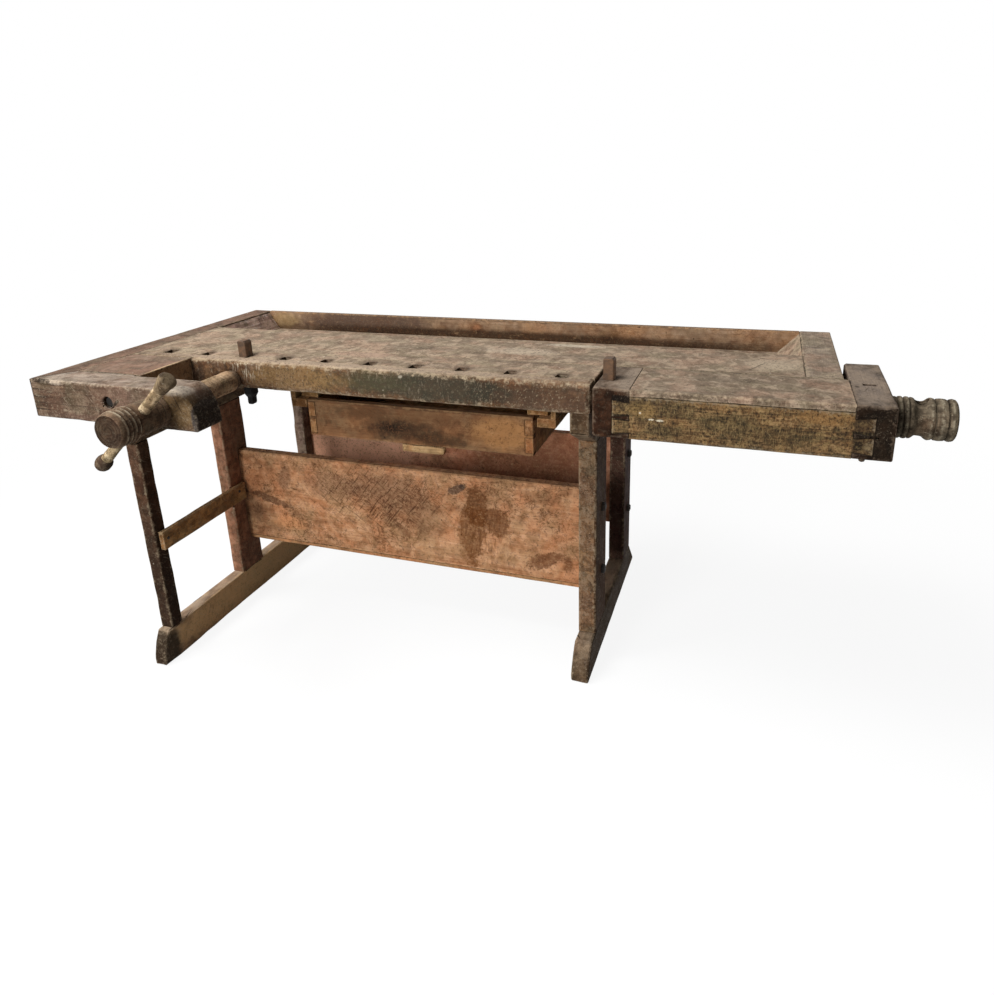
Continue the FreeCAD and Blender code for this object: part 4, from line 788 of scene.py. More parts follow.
trestles = {
    # the thick pale dust on the foot's top is dust and painted light where the bench top shades it
    "left_foot": dict(
        trestleOak, seed=79, wormHoles=0.015, speckAmount=0.3, green="#9f906e", warm="#b48d6f",
        wash="#d4b99a", blotch="#65503d", dustAndPaintedLight="#b29c86",
        tones=("#69523f", "#997b61", "#b69878", "#d8ba98"), grain=1, arris=4.0, dustAndPaintedLightAmount=0.95,
        spots=[
            # a pale patch on the foot's right face: painted light
            stainAndPaintedLight((207, 220, 55), (9, 420, 70), "#e2ba86", 0.85, 0.6, core=0.8),
            stainAndPaintedLight((190, -196, 40), (70, 50, 70), "#2a221b", 0.93, 0.6, core=0.6)]),
    "left_vise_post": dict(
        trestleOak, seed=83, green="#44382a", warm="#513427", wash="#5f4534", blotch="#1f120c",
        speckPale=0.12, grain=2, tones=("#241610", "#39251a", "#472f20", "#5b3f2c"),
        spots=[
            stainAndPaintedLight((188, -154, 170), (60, 60, 330), "#21160f", 0.75, 0.6)]),
    "left_front_leg": dict(
        trestleOak, seed=89, green="#7d684f", warm="#97674e", wash="#ab8166", blotch="#583c2c", grain=2,
        tones=("#5c3c2c", "#855a43", "#9c6d54", "#b6886b")),
    "left_rear_leg": dict(
        trestleOak, seed=97, grain=2, tones=("#4b3a33", "#6c574d", "#7d675b", "#957f70")),
    "left_bearer": dict(trestleOak, seed=101, grain=1),
    "left_batten": dict(
        trestleOak, seed=103, green="#96865f", warm="#af7d4f", blotch="#6f5334", wash="#c5a478", grain=1,
        arris=2.0, tones=("#745332", "#a47a4c", "#bd8f5b", "#ddad74")),
    "right_foot": dict(
        trestleOak, seed=107, dustAndPaintedLight="#a08c78", grain=1, arris=4.0, dustAndPaintedLightAmount=0.6,
        spots=[
            # a dark patch on the foot's right face: painted shade
            stainAndPaintedLight((1297, 240, 40), (9, 480, 80), "#35271b", 0.8, 0.5, core=0.8)]),
    "right_front_leg": dict(
        trestleOak, seed=109, speckAmount=0.85, tones=("#47301f", "#694c33", "#7b5b3f", "#947252"),
        grain=2,
        spots=[
            # a dark patch on the leg's right face: painted shade
            stainAndPaintedLight((1297, 180, 330), (9, 130, 460), "#3d2513", 0.94, 0.3, core=0.8)]),
    # near-black tones for a leg that stands back in shade: painted shade
    "right_rear_leg": dict(
        trestleOak, seed=113, green="#312620", warm="#42261e", wash="#482f29", blotch="#140a08",
        speckPale=0.1, grain=2, tones=("#23110f", "#361f1b", "#422723", "#51352f")),
    "right_bearer": dict(trestleOak, seed=127, grain=1),
    "front_stretcher": dict(
        stretcherPine, seed=131, grime="#4a2f1d", veinReach=0.025, wash="#be9674", blotch="#6c4b34",
        blotchAmount=0.42, veinMm=28, veinAmount=0.78, speckAmount=0.65, speckPale=0.25,
        tones=("#7d5239", "#a57551", "#bc8d68", "#d2a581"),
        scratches=[
            cuts(38, 2.6, 46, 0.6, "#402719", 0.8, at=(662, 178, 372), size=(250, 30, 110)),
            cuts(-57, 2.4, 36, 0.61, "#402719", 0.75, at=(640, 178, 360), size=(280, 30, 120)),
            cuts(9, 5.0, 24, 0.55, "#472812", 0.45, at=(965, 178, 315), size=(85, 30, 120)),
            cuts(80, 2.0, 80, 0.67, "#51331f", 0.55)],
        spots=[
            stainAndPaintedLight((693, 178, 394), (150, 20, 75), "#7a5c46", 0.6, 1.5),
            stainAndPaintedLight((768, 178, 335), (110, 20, 80), "#74553e", 0.5, 1.7),
            stainAndPaintedLight((517, 178, 392), (110, 20, 50), "#7b5b45", 0.5, 1.5),
            stainAndPaintedLight((955, 178, 372), (32, 14, 66), "#553016", 0.75, 2.0, turn=-10, core=0.85),
            stainAndPaintedLight((942, 178, 300), (40, 14, 84), "#613819", 0.7, 2.2, core=0.85),
            stainAndPaintedLight((1012, 178, 345), (38, 14, 44), "#5a3318", 0.72, 2.0, turn=35, core=0.85),
            stainAndPaintedLight((930, 178, 232), (30, 14, 30), "#6b4426", 0.6, 1.5),
            stainAndPaintedLight((903, 178, 426), (36, 14, 12), "#443730", 0.8, 1.8, turn=32, core=0.8),
            stainAndPaintedLight((922, 178, 438), (12, 14, 9), "#332b27", 0.8, 1.3),
            stainAndPaintedLight((1150, 178, 250), (64, 14, 20), "#5c3721", 0.75, 2.4, turn=22, core=0.8),
            stainAndPaintedLight((1210, 178, 246), (16, 14, 26), "#553420", 0.65, 1.6),
            stainAndPaintedLight((294, 178, 325), (85, 14, 14), "#4f3526", 0.75, 2.4, turn=-14, core=0.8),
            stainAndPaintedLight((235, 178, 275), (50, 14, 34), "#5f4330", 0.65, 1.4),
            stainAndPaintedLight((360, 178, 400), (22, 14, 50), "#6d4f3c", 0.6, 1.2, turn=-18),
            stainAndPaintedLight((357, 178, 255), (70, 14, 26), "#c98a5c", 0.5, 1.2),
            stainAndPaintedLight((700, 178, 470), (600, 20, 3), "#4a382b", 0.4, 1.0)]),
    # pale tones that make up for the shade under the bench: painted light
    "rear_stretcher": dict(
        stretcherPine, seed=137, green="#b48b6c", warm="#d58b68", wash="#edb694", blotch="#8d5b43",
        tones=("#925b44", "#c18568", "#d89b7c", "#f4ba97"),
        spots=[
            # a pale patch on the left part: painted light
            stainAndPaintedLight((420, 546, 350), (260, 30, 110), "#f0bb9c", 0.7, 0.8),
            # a dark patch on the right part: painted shadow of the drawer
            stainAndPaintedLight((1010, 546, 340), (300, 30, 160), "#7a4f38", 0.75, 0.8)]),
    "stretcher_edge_strip": dict(stretcherPine, seed=139, arris=1.5),
}
drawerParts = {
    "drawer_front": dict(
        stretcherPine, seed=149, scuff="#9f7e5b", green="#6c5942", warm="#865a3a", wash="#96714f",
        patch="#6e4d35", speckPale=0.08, speckAmount=0.8, seamAmount=0.45,
        tones=("#452e1d", "#65462f", "#77563b", "#886a4a"), grimeCover=0.4,
        spots=[
            stainAndPaintedLight((805, 60, 632), (120, 14, 38), "#2a1f17", 0.85, 1.8, core=0.4),
            stainAndPaintedLight((790, 60, 634), (50, 14, 16), "#15100e", 0.85, 1.5, core=0.3),
            stainAndPaintedLight((917, 60, 614), (84, 14, 24), "#2b1f16", 0.8, 1.8, core=0.4),
            stainAndPaintedLight((720, 60, 668), (120, 14, 30), "#433020", 0.7, 2.0, core=0.3),
            stainAndPaintedLight((880, 60, 668), (90, 14, 26), "#5a412c", 0.6, 1.5),
            stainAndPaintedLight((1085, 60, 646), (100, 14, 50), "#a8794b", 0.55, 0.8),
            # a dark band along the top edge, under the slab: painted shade
            stainAndPaintedLight((850, 60, 690), (330, 14, 7), "#3a2a1d", 0.75, 1.0)]),
    "drawer_left_side": dict(
        stretcherPine, seed=151, seamAmount=0.4, endTone="#e6dccf",
        tones=("#60412a", "#8a6240", "#a27850", "#b99064"), grain=1),
    "drawer_right_side": dict(
        stretcherPine, seed=157, seamAmount=0.4, endTone="#e6dccf",
        tones=("#60412a", "#8a6240", "#a27850", "#b99064"), grain=1),
    "drawer_back": dict(stretcherPine, seed=163),
    "drawer_bottom": dict(stretcherPine, seed=167),
    "drawer_left_cleat": dict(bareRunner, seed=173, grain=1),
    "drawer_right_cleat": dict(bareRunner, seed=179, grain=1),
    "drawer_pull": dict(
        bareRunner, seed=181, speckPale=0.1, green="#9c8360", wash="#c2a37a", blotch="#6a4f35",
        tones=("#644a30", "#8f6f4b", "#ab8a62", "#c5a67c"), arris=6.5, chipMm=14),
    "left_runner_ledge": dict(
        bareRunner, seed=191, grain=1, tones=("#7a5a38", "#9a7448", "#ad875a", "#c09c70")),
    "left_runner_spacer": dict(bareRunner, seed=193, grain=1),
    "right_runner_ledge": dict(bareRunner, seed=197, grain=1),
    "right_runner_spacer": dict(bareRunner, seed=199, grain=1),
}
for group in (benchTop, tailVise, trestles, drawerParts):
    for node, look in group.items():
        wornBoard(node, look, agedTimber("%s.%s" % (look["timber"], node), look, boxOf[node]))
print("boards worn:", len(benchTop) + len(tailVise) + len(trestles) + len(drawerParts))


# a lathe-turned piece along its own Z: rows of distance and radius in mm, the first and last on the axis
def turnedPiece(name, rows, start, toward, sides=72, dent=0.0, seed=0.0, thread=None, settled=False):
    shape = bmesh.new()
    dirt = shape.verts.layers.float.new("seamDirt")
    ridge = shape.verts.layers.float.new("ridgeWear")
    rings = []
    for row in rows:
        along, radius = row[:2]
        ring = []
        for side in range(sides if radius else 1):
            angle = 2 * math.pi * side / sides
            out = radius
            if thread and radius and thread["start"] < along < thread["end"]:
                turned = 2 * math.pi * along / thread["pitch"] - angle
                out -= thread["depth"] * (0.5 - 0.5 * math.cos(turned))
            spot = Vector((math.cos(angle) * out, math.sin(angle) * out, along))
            if dent and radius:
                hollow = noise.noise(spot / 17 + Vector((seed, 0, 0)))
                hollow += 0.6 * noise.noise(spot / 6 + Vector((0, seed, 0)))
                out -= dent * max(0.0, hollow)
                spot = Vector((math.cos(angle) * out, math.sin(angle) * out, along))
            ring.append(shape.verts.new(spot * mm))
            ring[-1][dirt] = row[2] if len(row) > 2 else 0.0
            ring[-1][ridge] = row[3] if len(row) > 3 else 0.0
        rings.append(ring)
    for first, second in zip(rings, rings[1:]):
        for side in range(sides):
            after = side + 1
            corners = [first[side % len(first)], first[after % len(first)]]
            corners += [second[after % len(second)], second[side % len(second)]]
            unique = list(dict.fromkeys(corners))
            if len(unique) > 2:
                shape.faces.new(unique)
    bmesh.ops.recalc_face_normals(shape, faces=shape.faces)
    mesh = bpy.data.meshes.new(name)
    shape.to_mesh(mesh)
    shape.free()
    piece = newObject(name, mesh)
    seating = Matrix.Translation(start) @ (toward - start).to_track_quat("Z", "Y").to_matrix().to_4x4()
    if settled:  # a slanting piece takes its place in the mesh itself, which keeps its box true
        mesh.transform(seating)
    else:
        piece.matrix_world = seating
    return piece


# bores a round hole right through a piece
def bored(piece, middle, along, radius, length):
    shape = bmesh.new()
    bmesh.ops.create_cone(shape, cap_ends=True, segments=56, radius1=radius * mm, radius2=radius * mm,
                          depth=length * mm)
    mesh = bpy.data.meshes.new("boreCutter")
    shape.to_mesh(mesh)
    shape.free()
    cutter = newObject("boreCutter", mesh)
    cutter.matrix_world = Matrix.Translation(middle) @ along.to_track_quat("Z", "Y").to_matrix().to_4x4()
    bpy.context.view_layer.update()
    bore = piece.modifiers.new("bore", "BOOLEAN")
    bore.object = cutter
    bore.solver = "EXACT"
    settled = piece.evaluated_get(bpy.context.evaluated_depsgraph_get())
    result = bpy.data.meshes.new_from_object(settled)
    piece.modifiers.clear()
    piece.data = result
    bpy.data.objects.remove(cutter)


def softShade(piece, turnDegrees):
    shape = bmesh.new()
    shape.from_mesh(piece.data)
    for face in shape.faces:
        face.smooth = True
    for edge in shape.edges:
        edge.smooth = len(edge.link_faces) == 2 and edge.calc_face_angle() < math.radians(turnDegrees)
    shape.to_mesh(piece.data)
    shape.free()


def dressed(piece, node, look, hide=True):
    low = Vector([min(v.co[i] for v in piece.data.vertices) for i in range(3)])
    high = Vector([max(v.co[i] for v in piece.data.vertices) for i in range(3)])
    piece.data.materials.clear()
    piece.data.materials.append(agedTimber("%s.%s" % (look["timber"], piece.name), look, [low, high]))
    softShade(piece, 38)
    return seat(piece, node, hide)


def bump(share, middle, width):
    return math.exp(-((share - middle) / width) ** 2)


turnedBirch = dict(
    weatheredBeech, timber="turnedBirch", grain=2, tones=("#3d2d22", "#664f3f", "#816750", "#a2876a"),
    patch="#5a4837", patchAmount=0.5, patchMm=40, grime="#2b221a", dustAndPaintedLightAmount=0.3, dustAndPaintedLight="#7f7060",
    endTone="#7b7270", latheMm=5.0, lathe="#83735e", rubAmount=0.2, rub="#8f7e66", scuffAmount=0.25,
    scuff="#a4947c", flecks=0.02, reliefMm=1.6, scuffAxis=2, speckAmount=0.4, speckPale=0.08,
    mottleDepth=0.6, veinAmount=0.75, veinMm=18, crossShare=1.0, blotchMm=18, blotchAmount=0.5,
    blotch="#33271f", washAmount=0.35, wash="#80705c", tintAmount=0.3, warm="#5a4230", green="#555040")

# front screw: hub with its grooves, threaded shaft and pin
# grooves: place along the hub and depth; the last four have a worn bead beside them
frontHub = dict(
    turnedBirch, seed=211, start=(380, -258, 749), length=138, radius=41, dent=1.1, barShare=0.44,
    barRadius=13.5, barAngle=43, steps=220, faceSteps=40, grooveWidth=0.011, beadAfter=0.03,
    beadWidth=0.018, swellAt=0.62, swellRate=45, roundFrom=0.86, base=0.895, belly=0.02, swell=0.085,
    grooveDepth=0.05, beadRise=0.012, rounding=0.17, most=0.998, faceTurns=30,
    grooves=[(0.10, 0.8), (0.22, 0.5), (0.615, 1.2), (0.705, 1.0), (0.785, 1.0), (0.865, 1.0)])
hubRows = [(0, 0)]
for step in range(frontHub["steps"] + 1):
    share = step / frontHub["steps"]
    swell = 1 / (1 + math.exp(-(share - frontHub["swellAt"]) * frontHub["swellRate"]))
    rounded = max(0.0, (share - frontHub["roundFrom"]) / (1 - frontHub["roundFrom"]))
    cut = sum(depth * bump(share, place, frontHub["grooveWidth"]) for place, depth in frontHub["grooves"])
    worn = sum(depth * bump(share, place + frontHub["beadAfter"], frontHub["beadWidth"])
               for place, depth in frontHub["grooves"][2:])
    radius = frontHub["base"] + frontHub["belly"] * math.sin(share * math.pi) + frontHub["swell"] * swell
    radius -= frontHub["grooveDepth"] * cut
    radius += frontHub["beadRise"] * worn
    radius -= frontHub["rounding"] * (1 - math.sqrt(max(0.0, 1 - 0.9 * rounded ** 2)))
    hubRows.append((share * frontHub["length"], min(radius, frontHub["most"]) * frontHub["radius"],
                    min(0.85, 0.8 * cut), min(0.9, 0.85 * worn)))
faceRadius = hubRows[-1][1]
for step in range(1, frontHub["faceSteps"] + 1):  # the end face: faintly dished, with shallow turning rings
    share = 1 - step / frontHub["faceSteps"]
    ring = 0.5 + 0.5 * math.sin(share * frontHub["faceTurns"])
    along = frontHub["length"] - 0.2 - 1.2 * (1 - share) - 0.5 * ring
    hubRows.append((along, share * faceRadius, 0.22 * ring ** 3, 0.05 * (1 - ring) ** 3))
hubRows[-1] = (hubRows[-1][0], 0)
hubStart = onBench(*frontHub["start"])
hub = turnedPiece("frontScrewHub", hubRows, hubStart, hubStart + Vector((0, -1, 0)),
                  dent=frontHub["dent"], seed=3.0)
barTilt = math.radians(frontHub["barAngle"])
barAxis = Vector((math.cos(barTilt), 0, math.sin(barTilt)))
barMiddle = hubStart + Vector((0, -frontHub["length"] * frontHub["barShare"] * mm, 0))
bored(hub, barMiddle, barAxis, frontHub["barRadius"], 140)
dressed(hub, "front_screw", frontHub)
frontShaft = dict(
    turnedBirch, seed=223, length=243.4, step=1.5, tip=[(-3, 26.6), (0, 24), (0, 10), (9, 10), (9, 0)],
    radius=27, depth=1.5, pitch=12, tones=("#6a543d", "#a58669", "#c6a685", "#e0c3a2"), lathe="#4c3b2a",
    scuff="#b89f7c", blotch="#4a3a2b", wash="#b0977a", warm="#8c6747", green="#7f7252", patch="#6b543d")
shaftRows = [(-3, 0), (-3, frontShaft["radius"])]
shaftCount = int(frontShaft["length"] / frontShaft["step"])
shaftRows += [(step * frontShaft["step"], frontShaft["radius"]) for step in range(shaftCount)]
shaftRows += [(frontShaft["length"] + past, radius) for past, radius in frontShaft["tip"]]
frontThread = {"start": 84, "end": frontShaft["length"] - 24,
               "pitch": frontShaft["pitch"], "depth": frontShaft["depth"]}
shaft = turnedPiece("frontScrewShaft", shaftRows, hubStart, hubStart + Vector((0, 1, 0)),
                    sides=56, dent=0.5, seed=5.0, thread=frontThread)
dressed(shaft, "front_screw", frontShaft, hide=False)
nosePad = dict(
    turnedBirch, seed=227, start=(380, -13.8, 749),
    rows=[(0, 0), (0, 10.3), (0, 22), (0.6, 23.6), (2.5, 24.8), (6.5, 25), (10.5, 24.8), (12.4, 23.4),
        (13, 21), (13, 0)])
padStart = onBench(*nosePad["start"])
pad = turnedPiece("nosePadDisc", nosePad["rows"], padStart, padStart + Vector((0, 1, 0)),
                  dent=0.4, seed=7.0)
dressed(pad, "nose_pad", nosePad)

# tommy bar: whittled stick with one mushroom knob and one ball knob
tommyBar = dict(
    turnedBirch, timber="whittledAsh", seed=229, radius=12.8, most=12.9, taper=1.6, steps=76, upper=134,
    lower=170, latheMm=0, tones=("#5a4a35", "#957e60", "#b89e7c", "#d8c19c"), patch="#7c6548",
    patchAmount=0.6, patchMm=60, grime="#33281b", rubAmount=0, speckAmount=0.8, blotchMm=22,
    blotchAmount=0.65, blotch="#54432f", washAmount=0.45, wash="#dac7a6", warm="#a98a68", green="#9a8e6c",
    veinMm=16, veinAmount=0.9)
barRows = [(0, 0)]
barLength = tommyBar["upper"] + tommyBar["lower"]
for step in range(tommyBar["steps"] + 1):
    share = step / tommyBar["steps"]
    thick = tommyBar["radius"] - tommyBar["taper"] * abs(share - 0.56) + 0.35 * math.sin(share * 23)
    barRows.append((share * barLength, min(thick, tommyBar["most"])))
barRows.append((barLength, 0))
barStart = barMiddle - barAxis * tommyBar["lower"] * mm
bar = turnedPiece("tommyBarStick", barRows, barStart, barMiddle, sides=40, dent=0.6, seed=11.0)
dressed(bar, "tommy_bar", tommyBar)
upperKnob = dict(
    turnedBirch, seed=233, latheMm=0, reach=106.5, tones=("#453829", "#6b5a45", "#857258", "#a18d70"),
    blotch="#3c3024", wash="#94826a",
    rows=[(0, 0), (0, 13.2), (1.5, 14.2), (9, 15.2), (18, 16.6), (26, 18.4), (31, 19.6), (35, 19.9),
        (38, 18.9), (40.4, 16.2), (41.6, 11), (42, 0)])
upperStart = barMiddle + barAxis * upperKnob["reach"] * mm
upper = turnedPiece("tommyKnobUpper", upperKnob["rows"], upperStart, barMiddle + barAxis,
                    sides=48, dent=0.8, seed=13.0, settled=True)
dressed(upper, "tommy_knobs", upperKnob)
lowerKnob = dict(
    turnedBirch, seed=239, latheMm=0, reach=148, tones=("#1c1713", "#322922", "#443930", "#5c4f42"),
    rows=[(0, 0), (0, 13.2), (2, 14.8), (6, 16.8), (11, 18.1), (17, 18.5), (23, 18.0), (29, 15.8),
        (33.5, 12.4), (36.6, 8.2), (38, 0)])
lowerStart = barMiddle - barAxis * lowerKnob["reach"] * mm
lower = turnedPiece("tommyKnobLower", lowerKnob["rows"], lowerStart, barMiddle - barAxis,
                    sides=48, dent=0.8, seed=17.0, settled=True)
dressed(lower, "tommy_knobs", lowerKnob, hide=False)

# tail screw: beaded hub with its cove and bar hole, threaded shaft with the garter groove;
# grooves: place, width and depth; beads: place, width, swell and width of the wear
tailHub = dict(
    turnedBirch, seed=241, start=(1895.5, 95, 744.5), length=117, radius=43, steps=220, faceSteps=30,
    grooves=[(0.095, 0.013, 1.0), (0.19, 0.013, 1.0), (0.285, 0.012, 0.9), (0.675, 0.014, 1.2),
        (0.865, 0.013, 1.3)],
    beads=[(0.145, 0.03, 0.02, 0.02), (0.24, 0.03, 0.02, 0.02), (0.61, 0.03, 0.025, 0.02),
        (0.77, 0.05, 0.02, 0.03), (0.925, 0.03, 0.025, 0.02)],
    cove=(0.455, 0.095, 0.15), base=0.962, grooveDepth=0.05, most=0.998, faceTurns=26, faceShare=0.9,
    barShare=0.46, barRadius=13.5, dent=1.4, latheMm=6.0, tones=("#2b241b", "#4a4135", "#625748", "#7f7360"),
    lathe="#877b67", ridge="#9a8f7a", patch="#443629", blotch="#241c16", grime="#211a14", veinAmount=0.9,
    veinMm=14)
tailRows = [(0, 0)]
coveAt, coveWidth, coveDepth = tailHub["cove"]
for step in range(tailHub["steps"] + 1):
    share = step / tailHub["steps"]
    cut = sum(depth * bump(share, place, width) for place, width, depth in tailHub["grooves"])
    radius = tailHub["base"] - tailHub["grooveDepth"] * cut
    radius -= coveDepth * math.exp(-((share - coveAt) / coveWidth) ** 4)
    radius += sum(swell * bump(share, place, width) for place, width, swell, wornWidth in tailHub["beads"])
    radius -= 0.09 * max(0.0, (share - 0.965) / 0.035) ** 2 + 0.06 * max(0.0, (0.025 - share) / 0.025) ** 2
    worn = sum(bump(share, place, wornWidth) for place, width, swell, wornWidth in tailHub["beads"])
    tailRows.append((share * tailHub["length"], min(radius, tailHub["most"]) * tailHub["radius"],
                     min(0.8, 0.7 * cut), 0.6 * worn))
for step in range(1, tailHub["faceSteps"] + 1):
    share = 1 - step / tailHub["faceSteps"]
    ring = 0.5 + 0.5 * math.sin(share * tailHub["faceTurns"])
    along = tailHub["length"] - 0.15 - 0.5 * (1 - share) - 0.8 * ring
    tailRows.append((along, share * tailHub["faceShare"] * tailHub["radius"], 0.5 * ring ** 3))
tailRows[-1] = (tailRows[-1][0], 0)
tailStart = onBench(*tailHub["start"])
tail = turnedPiece("tailScrewHub", tailRows, tailStart, tailStart + Vector((1, 0, 0)),
                   dent=tailHub["dent"], seed=19.0)
tailBore = tailStart + Vector((tailHub["length"] * tailHub["barShare"] * mm, 0, 0))
bored(tail, tailBore, Vector((0, 0, 1)), tailHub["barRadius"], 140)
dressed(tail, "tail_screw", tailHub)
tailShaft = dict(
    turnedBirch, seed=251, length=384.5, step=1.5, radius=27, depth=2.2, pitch=12, garter=37,
    garterWidth=25, garterRadius=21)
tailShaftRows = [(-2, 0), (-2, tailShaft["radius"])]
for step in range(int(tailShaft["length"] / tailShaft["step"])):
    along = step * tailShaft["step"]
    necked = abs(along - tailShaft["garter"]) < tailShaft["garterWidth"] / 2
    tailShaftRows.append((along, tailShaft["garterRadius"] if necked else tailShaft["radius"]))
tailShaftRows += [(tailShaft["length"] - 2, 25.5), (tailShaft["length"], 23), (tailShaft["length"], 0)]
tailThread = {"start": 78, "end": tailShaft["length"] - 6,
              "pitch": tailShaft["pitch"], "depth": tailShaft["depth"]}
screw = turnedPiece("tailScrewShaft", tailShaftRows, tailStart, tailStart - Vector((1, 0, 0)),
                    sides=56, dent=0.4, seed=23.0, thread=tailThread)
dressed(screw, "tail_screw", tailShaft, hide=False)
print("screws and tommy bar turned")

# ironwork
ironPieces = {
    "bench_dog": {"rust": 0.3, "arris": 2.5, "seed": 1.0},
    "tail_dog": {"rust": 0.3, "arris": 2.5, "seed": 2.0},
    "stretcher_screws": {"rust": -0.05, "arris": 5.0, "seed": 3.0},
    "arm_tie_bolt": {"rust": -0.25, "arris": 2.0, "seed": 4.0},
    "arm_tie_nut": {"rust": 0.0, "arris": 1.5, "seed": 5.0}}
for node, iron in ironPieces.items():
    ironWear = dict(weatheredBeech, arris=iron["arris"], seam=0.6, chip=0.35, chipMm=9, seed=iron["seed"])
    wornBoard(node, ironWear, forgedIron("forgedIron." + node, iron["rust"], iron["seed"]))
screwHeads = {"rows": (191.5, 560.0), "levels": (245.0, 422.0), "share": 0.74}
screwMiddles = ((1, [onBench(0, y, 0).y for y in screwHeads["rows"]]),
                (2, [z * mm for z in screwHeads["levels"]]))
for vert in bpy.data.objects["stretcher_screwsWorn"].data.vertices:
    for axis, middles in screwMiddles:
        middle = min(middles, key=lambda m: abs(m - vert.co[axis]))
        vert.co[axis] = middle + (vert.co[axis] - middle) * screwHeads["share"]
# the dogs' iron feet: narrower, and black
dogFoot = {"below": 727.0, "narrowBelow": 697.0, "share": 0.66}
for node in ("bench_dog", "tail_dog"):
    dogMesh = bpy.data.objects[node + "Worn"].data
    dogMiddle = (boxOf[node][0] + boxOf[node][1]) / 2
    soot = dogMesh.attributes["seamDirt"].data
    for loop in dogMesh.loops:
        height = dogMesh.vertices[loop.vertex_index].co.z
        soot[loop.index].value = 1.0 if height < dogFoot["below"] * mm else 0.0
    for vert in dogMesh.vertices:
        if vert.co.z < dogFoot["narrowBelow"] * mm:
            for axis in (0, 1):
                vert.co[axis] = dogMiddle[axis] + (vert.co[axis] - dogMiddle[axis]) * dogFoot["share"]
battenNails = {"places": [(221, -145, 351), (221, 142, 355)], "rust": -0.05,
               "rows": [(-6, 0), (-6, 2), (0, 2), (0, 4.5), (1.1, 4.5 * 0.92), (1.9, 4.5 * 0.6), (2.2, 0)]}
for index, place in enumerate(battenNails["places"]):
    nailStart = onBench(*place)
    nailEnd = nailStart + Vector((1, 0, 0))
    nail = turnedPiece("battenNail%d" % (index + 1), battenNails["rows"], nailStart, nailEnd,
                       sides=20, dent=0.3, seed=index + 29.0)
    nail.data.materials.append(forgedIron("forgedIron." + nail.name, battenNails["rust"], index + 7.0))
    softShade(nail, 45)
    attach(nail, "bench")
cornerPeg = dict(
    darkBeech, seed=263, grain=2, at=(1843, -7.5, 691),
    rows=[(-4, 0), (-4, 5.6), (0, 5.8), (5, 5.9), (7.5, 5.2), (8.8, 3.4), (9.2, 0)])
pegStart = onBench(*cornerPeg["at"])
peg = turnedPiece("tailCornerPeg", cornerPeg["rows"], pegStart, pegStart - Vector((0, 0, 1)),
                  sides=28, dent=0.5, seed=41.0)
pegBox = [Vector((-0.006, -0.006, -0.004)), Vector((0.006, 0.006, 0.009))]
peg.data.materials.append(agedTimber("darkBeech.tailCornerPeg", cornerPeg, pegBox))
softShade(peg, 40)
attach(peg, "tail_carriage")
pegLook = dict(weatheredBeech, seed=257, grain=2)
nodes["top_pegs"].data.materials.clear()
nodes["top_pegs"].data.materials.append(agedTimber("weatheredBeech.top_pegs", pegLook, boxOf["top_pegs"]))
print("ironwork and pegs dressed")


# what the camera meets directly, in gloss or through glass
def seenRays(tree):
    names = ("Is Camera Ray", "Is Glossy Ray", "Is Transmission Ray")
    direct, glossy, through = [addNode(tree, "LightPath", out=name) for name in names]
    seen = addNode(tree, "Math", {"operation": "ADD"}, {0: direct, 1: glossy})
    return addNode(tree, "Math", {"operation": "ADD", "use_clamp": True}, {0: seen, 1: through})


# floor, backdrop and light
floorLook = {"size": 14.0, "pale": "#8f8f8f", "shadow": 0.1, "near": 0.9, "far": 2.6}
floorMesh = bpy.data.meshes.new("studioFloor")
reach = floorLook["size"] / 2
floorCorners = [(-reach, -reach, 0), (reach, -reach, 0), (reach, reach, 0), (-reach, reach, 0)]
floorMesh.from_pydata(floorCorners, [], [(0, 1, 2, 3)])
floor = newObject("studioFloor", floorMesh)
# seamless paper: white to the eye, it keeps a soft shadow
floorMaterial, floorTree = newMaterial("palePaperFloor")
seenAll = seenRays(floorTree)
floorPlace = addNode(floorTree, "TexCoord", out="Object")
floorReach = addNode(floorTree, "VectorMath", {"operation": "LENGTH"}, {0: floorPlace}, out=1)
shadowSettings = {"interpolation_type": "SMOOTHSTEP", "To Min": 1 - floorLook["shadow"], "To Max": 1.0,
                  "From Min": floorLook["near"], "From Max": floorLook["far"]}
shadowShare = addNode(floorTree, "MapRange", shadowSettings, {"Value": floorReach})
paperShare = addNode(floorTree, "Math", {"operation": "MULTIPLY"}, {0: seenAll, 1: shadowShare})
paperTone = addNode(floorTree, "Mix", {"data_type": "RGBA", 6: linearColour(floorLook["pale"]),
                                       7: (1, 1, 1, 1)}, {0: seenAll}, out=2)
paper = addNode(floorTree, "BsdfDiffuse", links={"Color": paperTone})
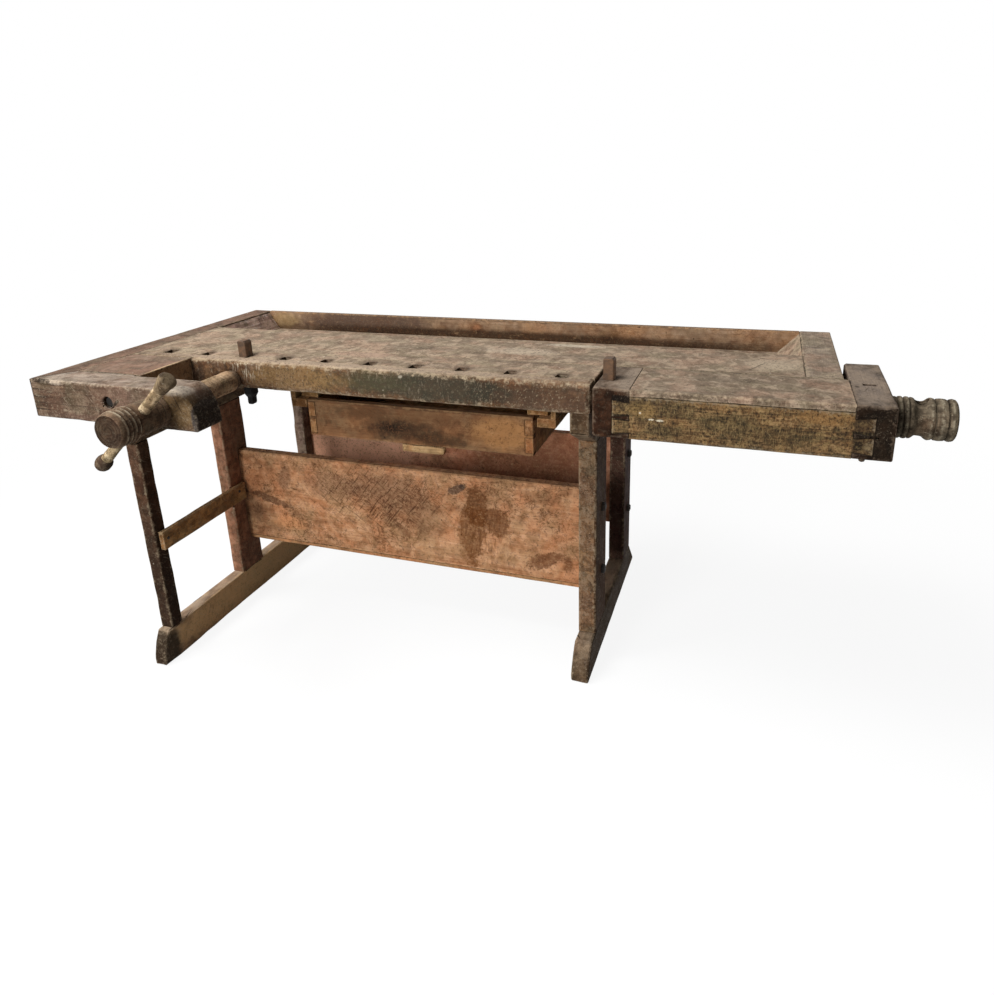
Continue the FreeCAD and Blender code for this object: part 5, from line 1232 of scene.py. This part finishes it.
white = addNode(floorTree, "Emission", {"Color": (1, 1, 1, 1), "Strength": 1.0})
floorSurface = addNode(floorTree, "MixShader", links={0: paperShare, 1: paper, 2: white})
addNode(floorTree, "OutputMaterial", links={"Surface": floorSurface})
floorMesh.materials.append(floorMaterial)

world = bpy.data.worlds.new("studioWorld")
world.use_nodes = True
world.node_tree.nodes.clear()
skyLook = {"fill": 0.15}
skyAll = seenRays(world.node_tree)
skyStrength = addNode(world.node_tree, "MapRange", {"To Min": skyLook["fill"], "To Max": 1.0},
                      {"Value": skyAll})
sky = addNode(world.node_tree, "Background", {"Color": (1, 1, 1, 1)}, {"Strength": skyStrength})
addNode(world.node_tree, "OutputWorld", links={"Surface": sky})
bpy.context.scene.world = world

lampLook = {
    "softKey": {"from": (-2.4, -1.0, 4.6), "at": (0.0, 0.0, 0.6), "size": 2.2, "watts": 284.0},
    "frontFill": {"from": (-1.7, -5.2, 1.95), "at": (0.0, 0.1, 0.4), "size": 1.8, "watts": 308.0}}
for name, look in lampLook.items():
    lamp = bpy.data.lights.new(name, "AREA")
    lamp.energy = look["watts"]
    lamp.size = look["size"]
    lampObject = bpy.data.objects.new(name, lamp)
    lampObject.location = look["from"]
    toward = Vector(look["at"]) - Vector(look["from"])
    lampObject.rotation_euler = toward.to_track_quat("-Z", "Y").to_euler()
    bpy.context.scene.collection.objects.link(lampObject)

# the photograph's view, for an image of 994 by 995
viewLook = {"location": (0.63696, -1.62941, 1.25510), "turn": (72.00126, 1.81148, 19.07839),
            "lens": 26.8415, "sensor": 36.0, "shift": (-0.00809, -0.09530)}
camera = bpy.data.cameras.new("photoView")
camera.lens = viewLook["lens"]
camera.sensor_width = viewLook["sensor"]
camera.shift_x, camera.shift_y = viewLook["shift"]
cameraObject = bpy.data.objects.new("photoView", camera)
cameraObject.location = viewLook["location"]
cameraObject.rotation_euler = [math.radians(angle) for angle in viewLook["turn"]]
bpy.context.scene.collection.objects.link(cameraObject)
bpy.context.scene.camera = cameraObject
bpy.context.scene.view_settings.view_transform = "Standard"
print("stage, light and camera set")
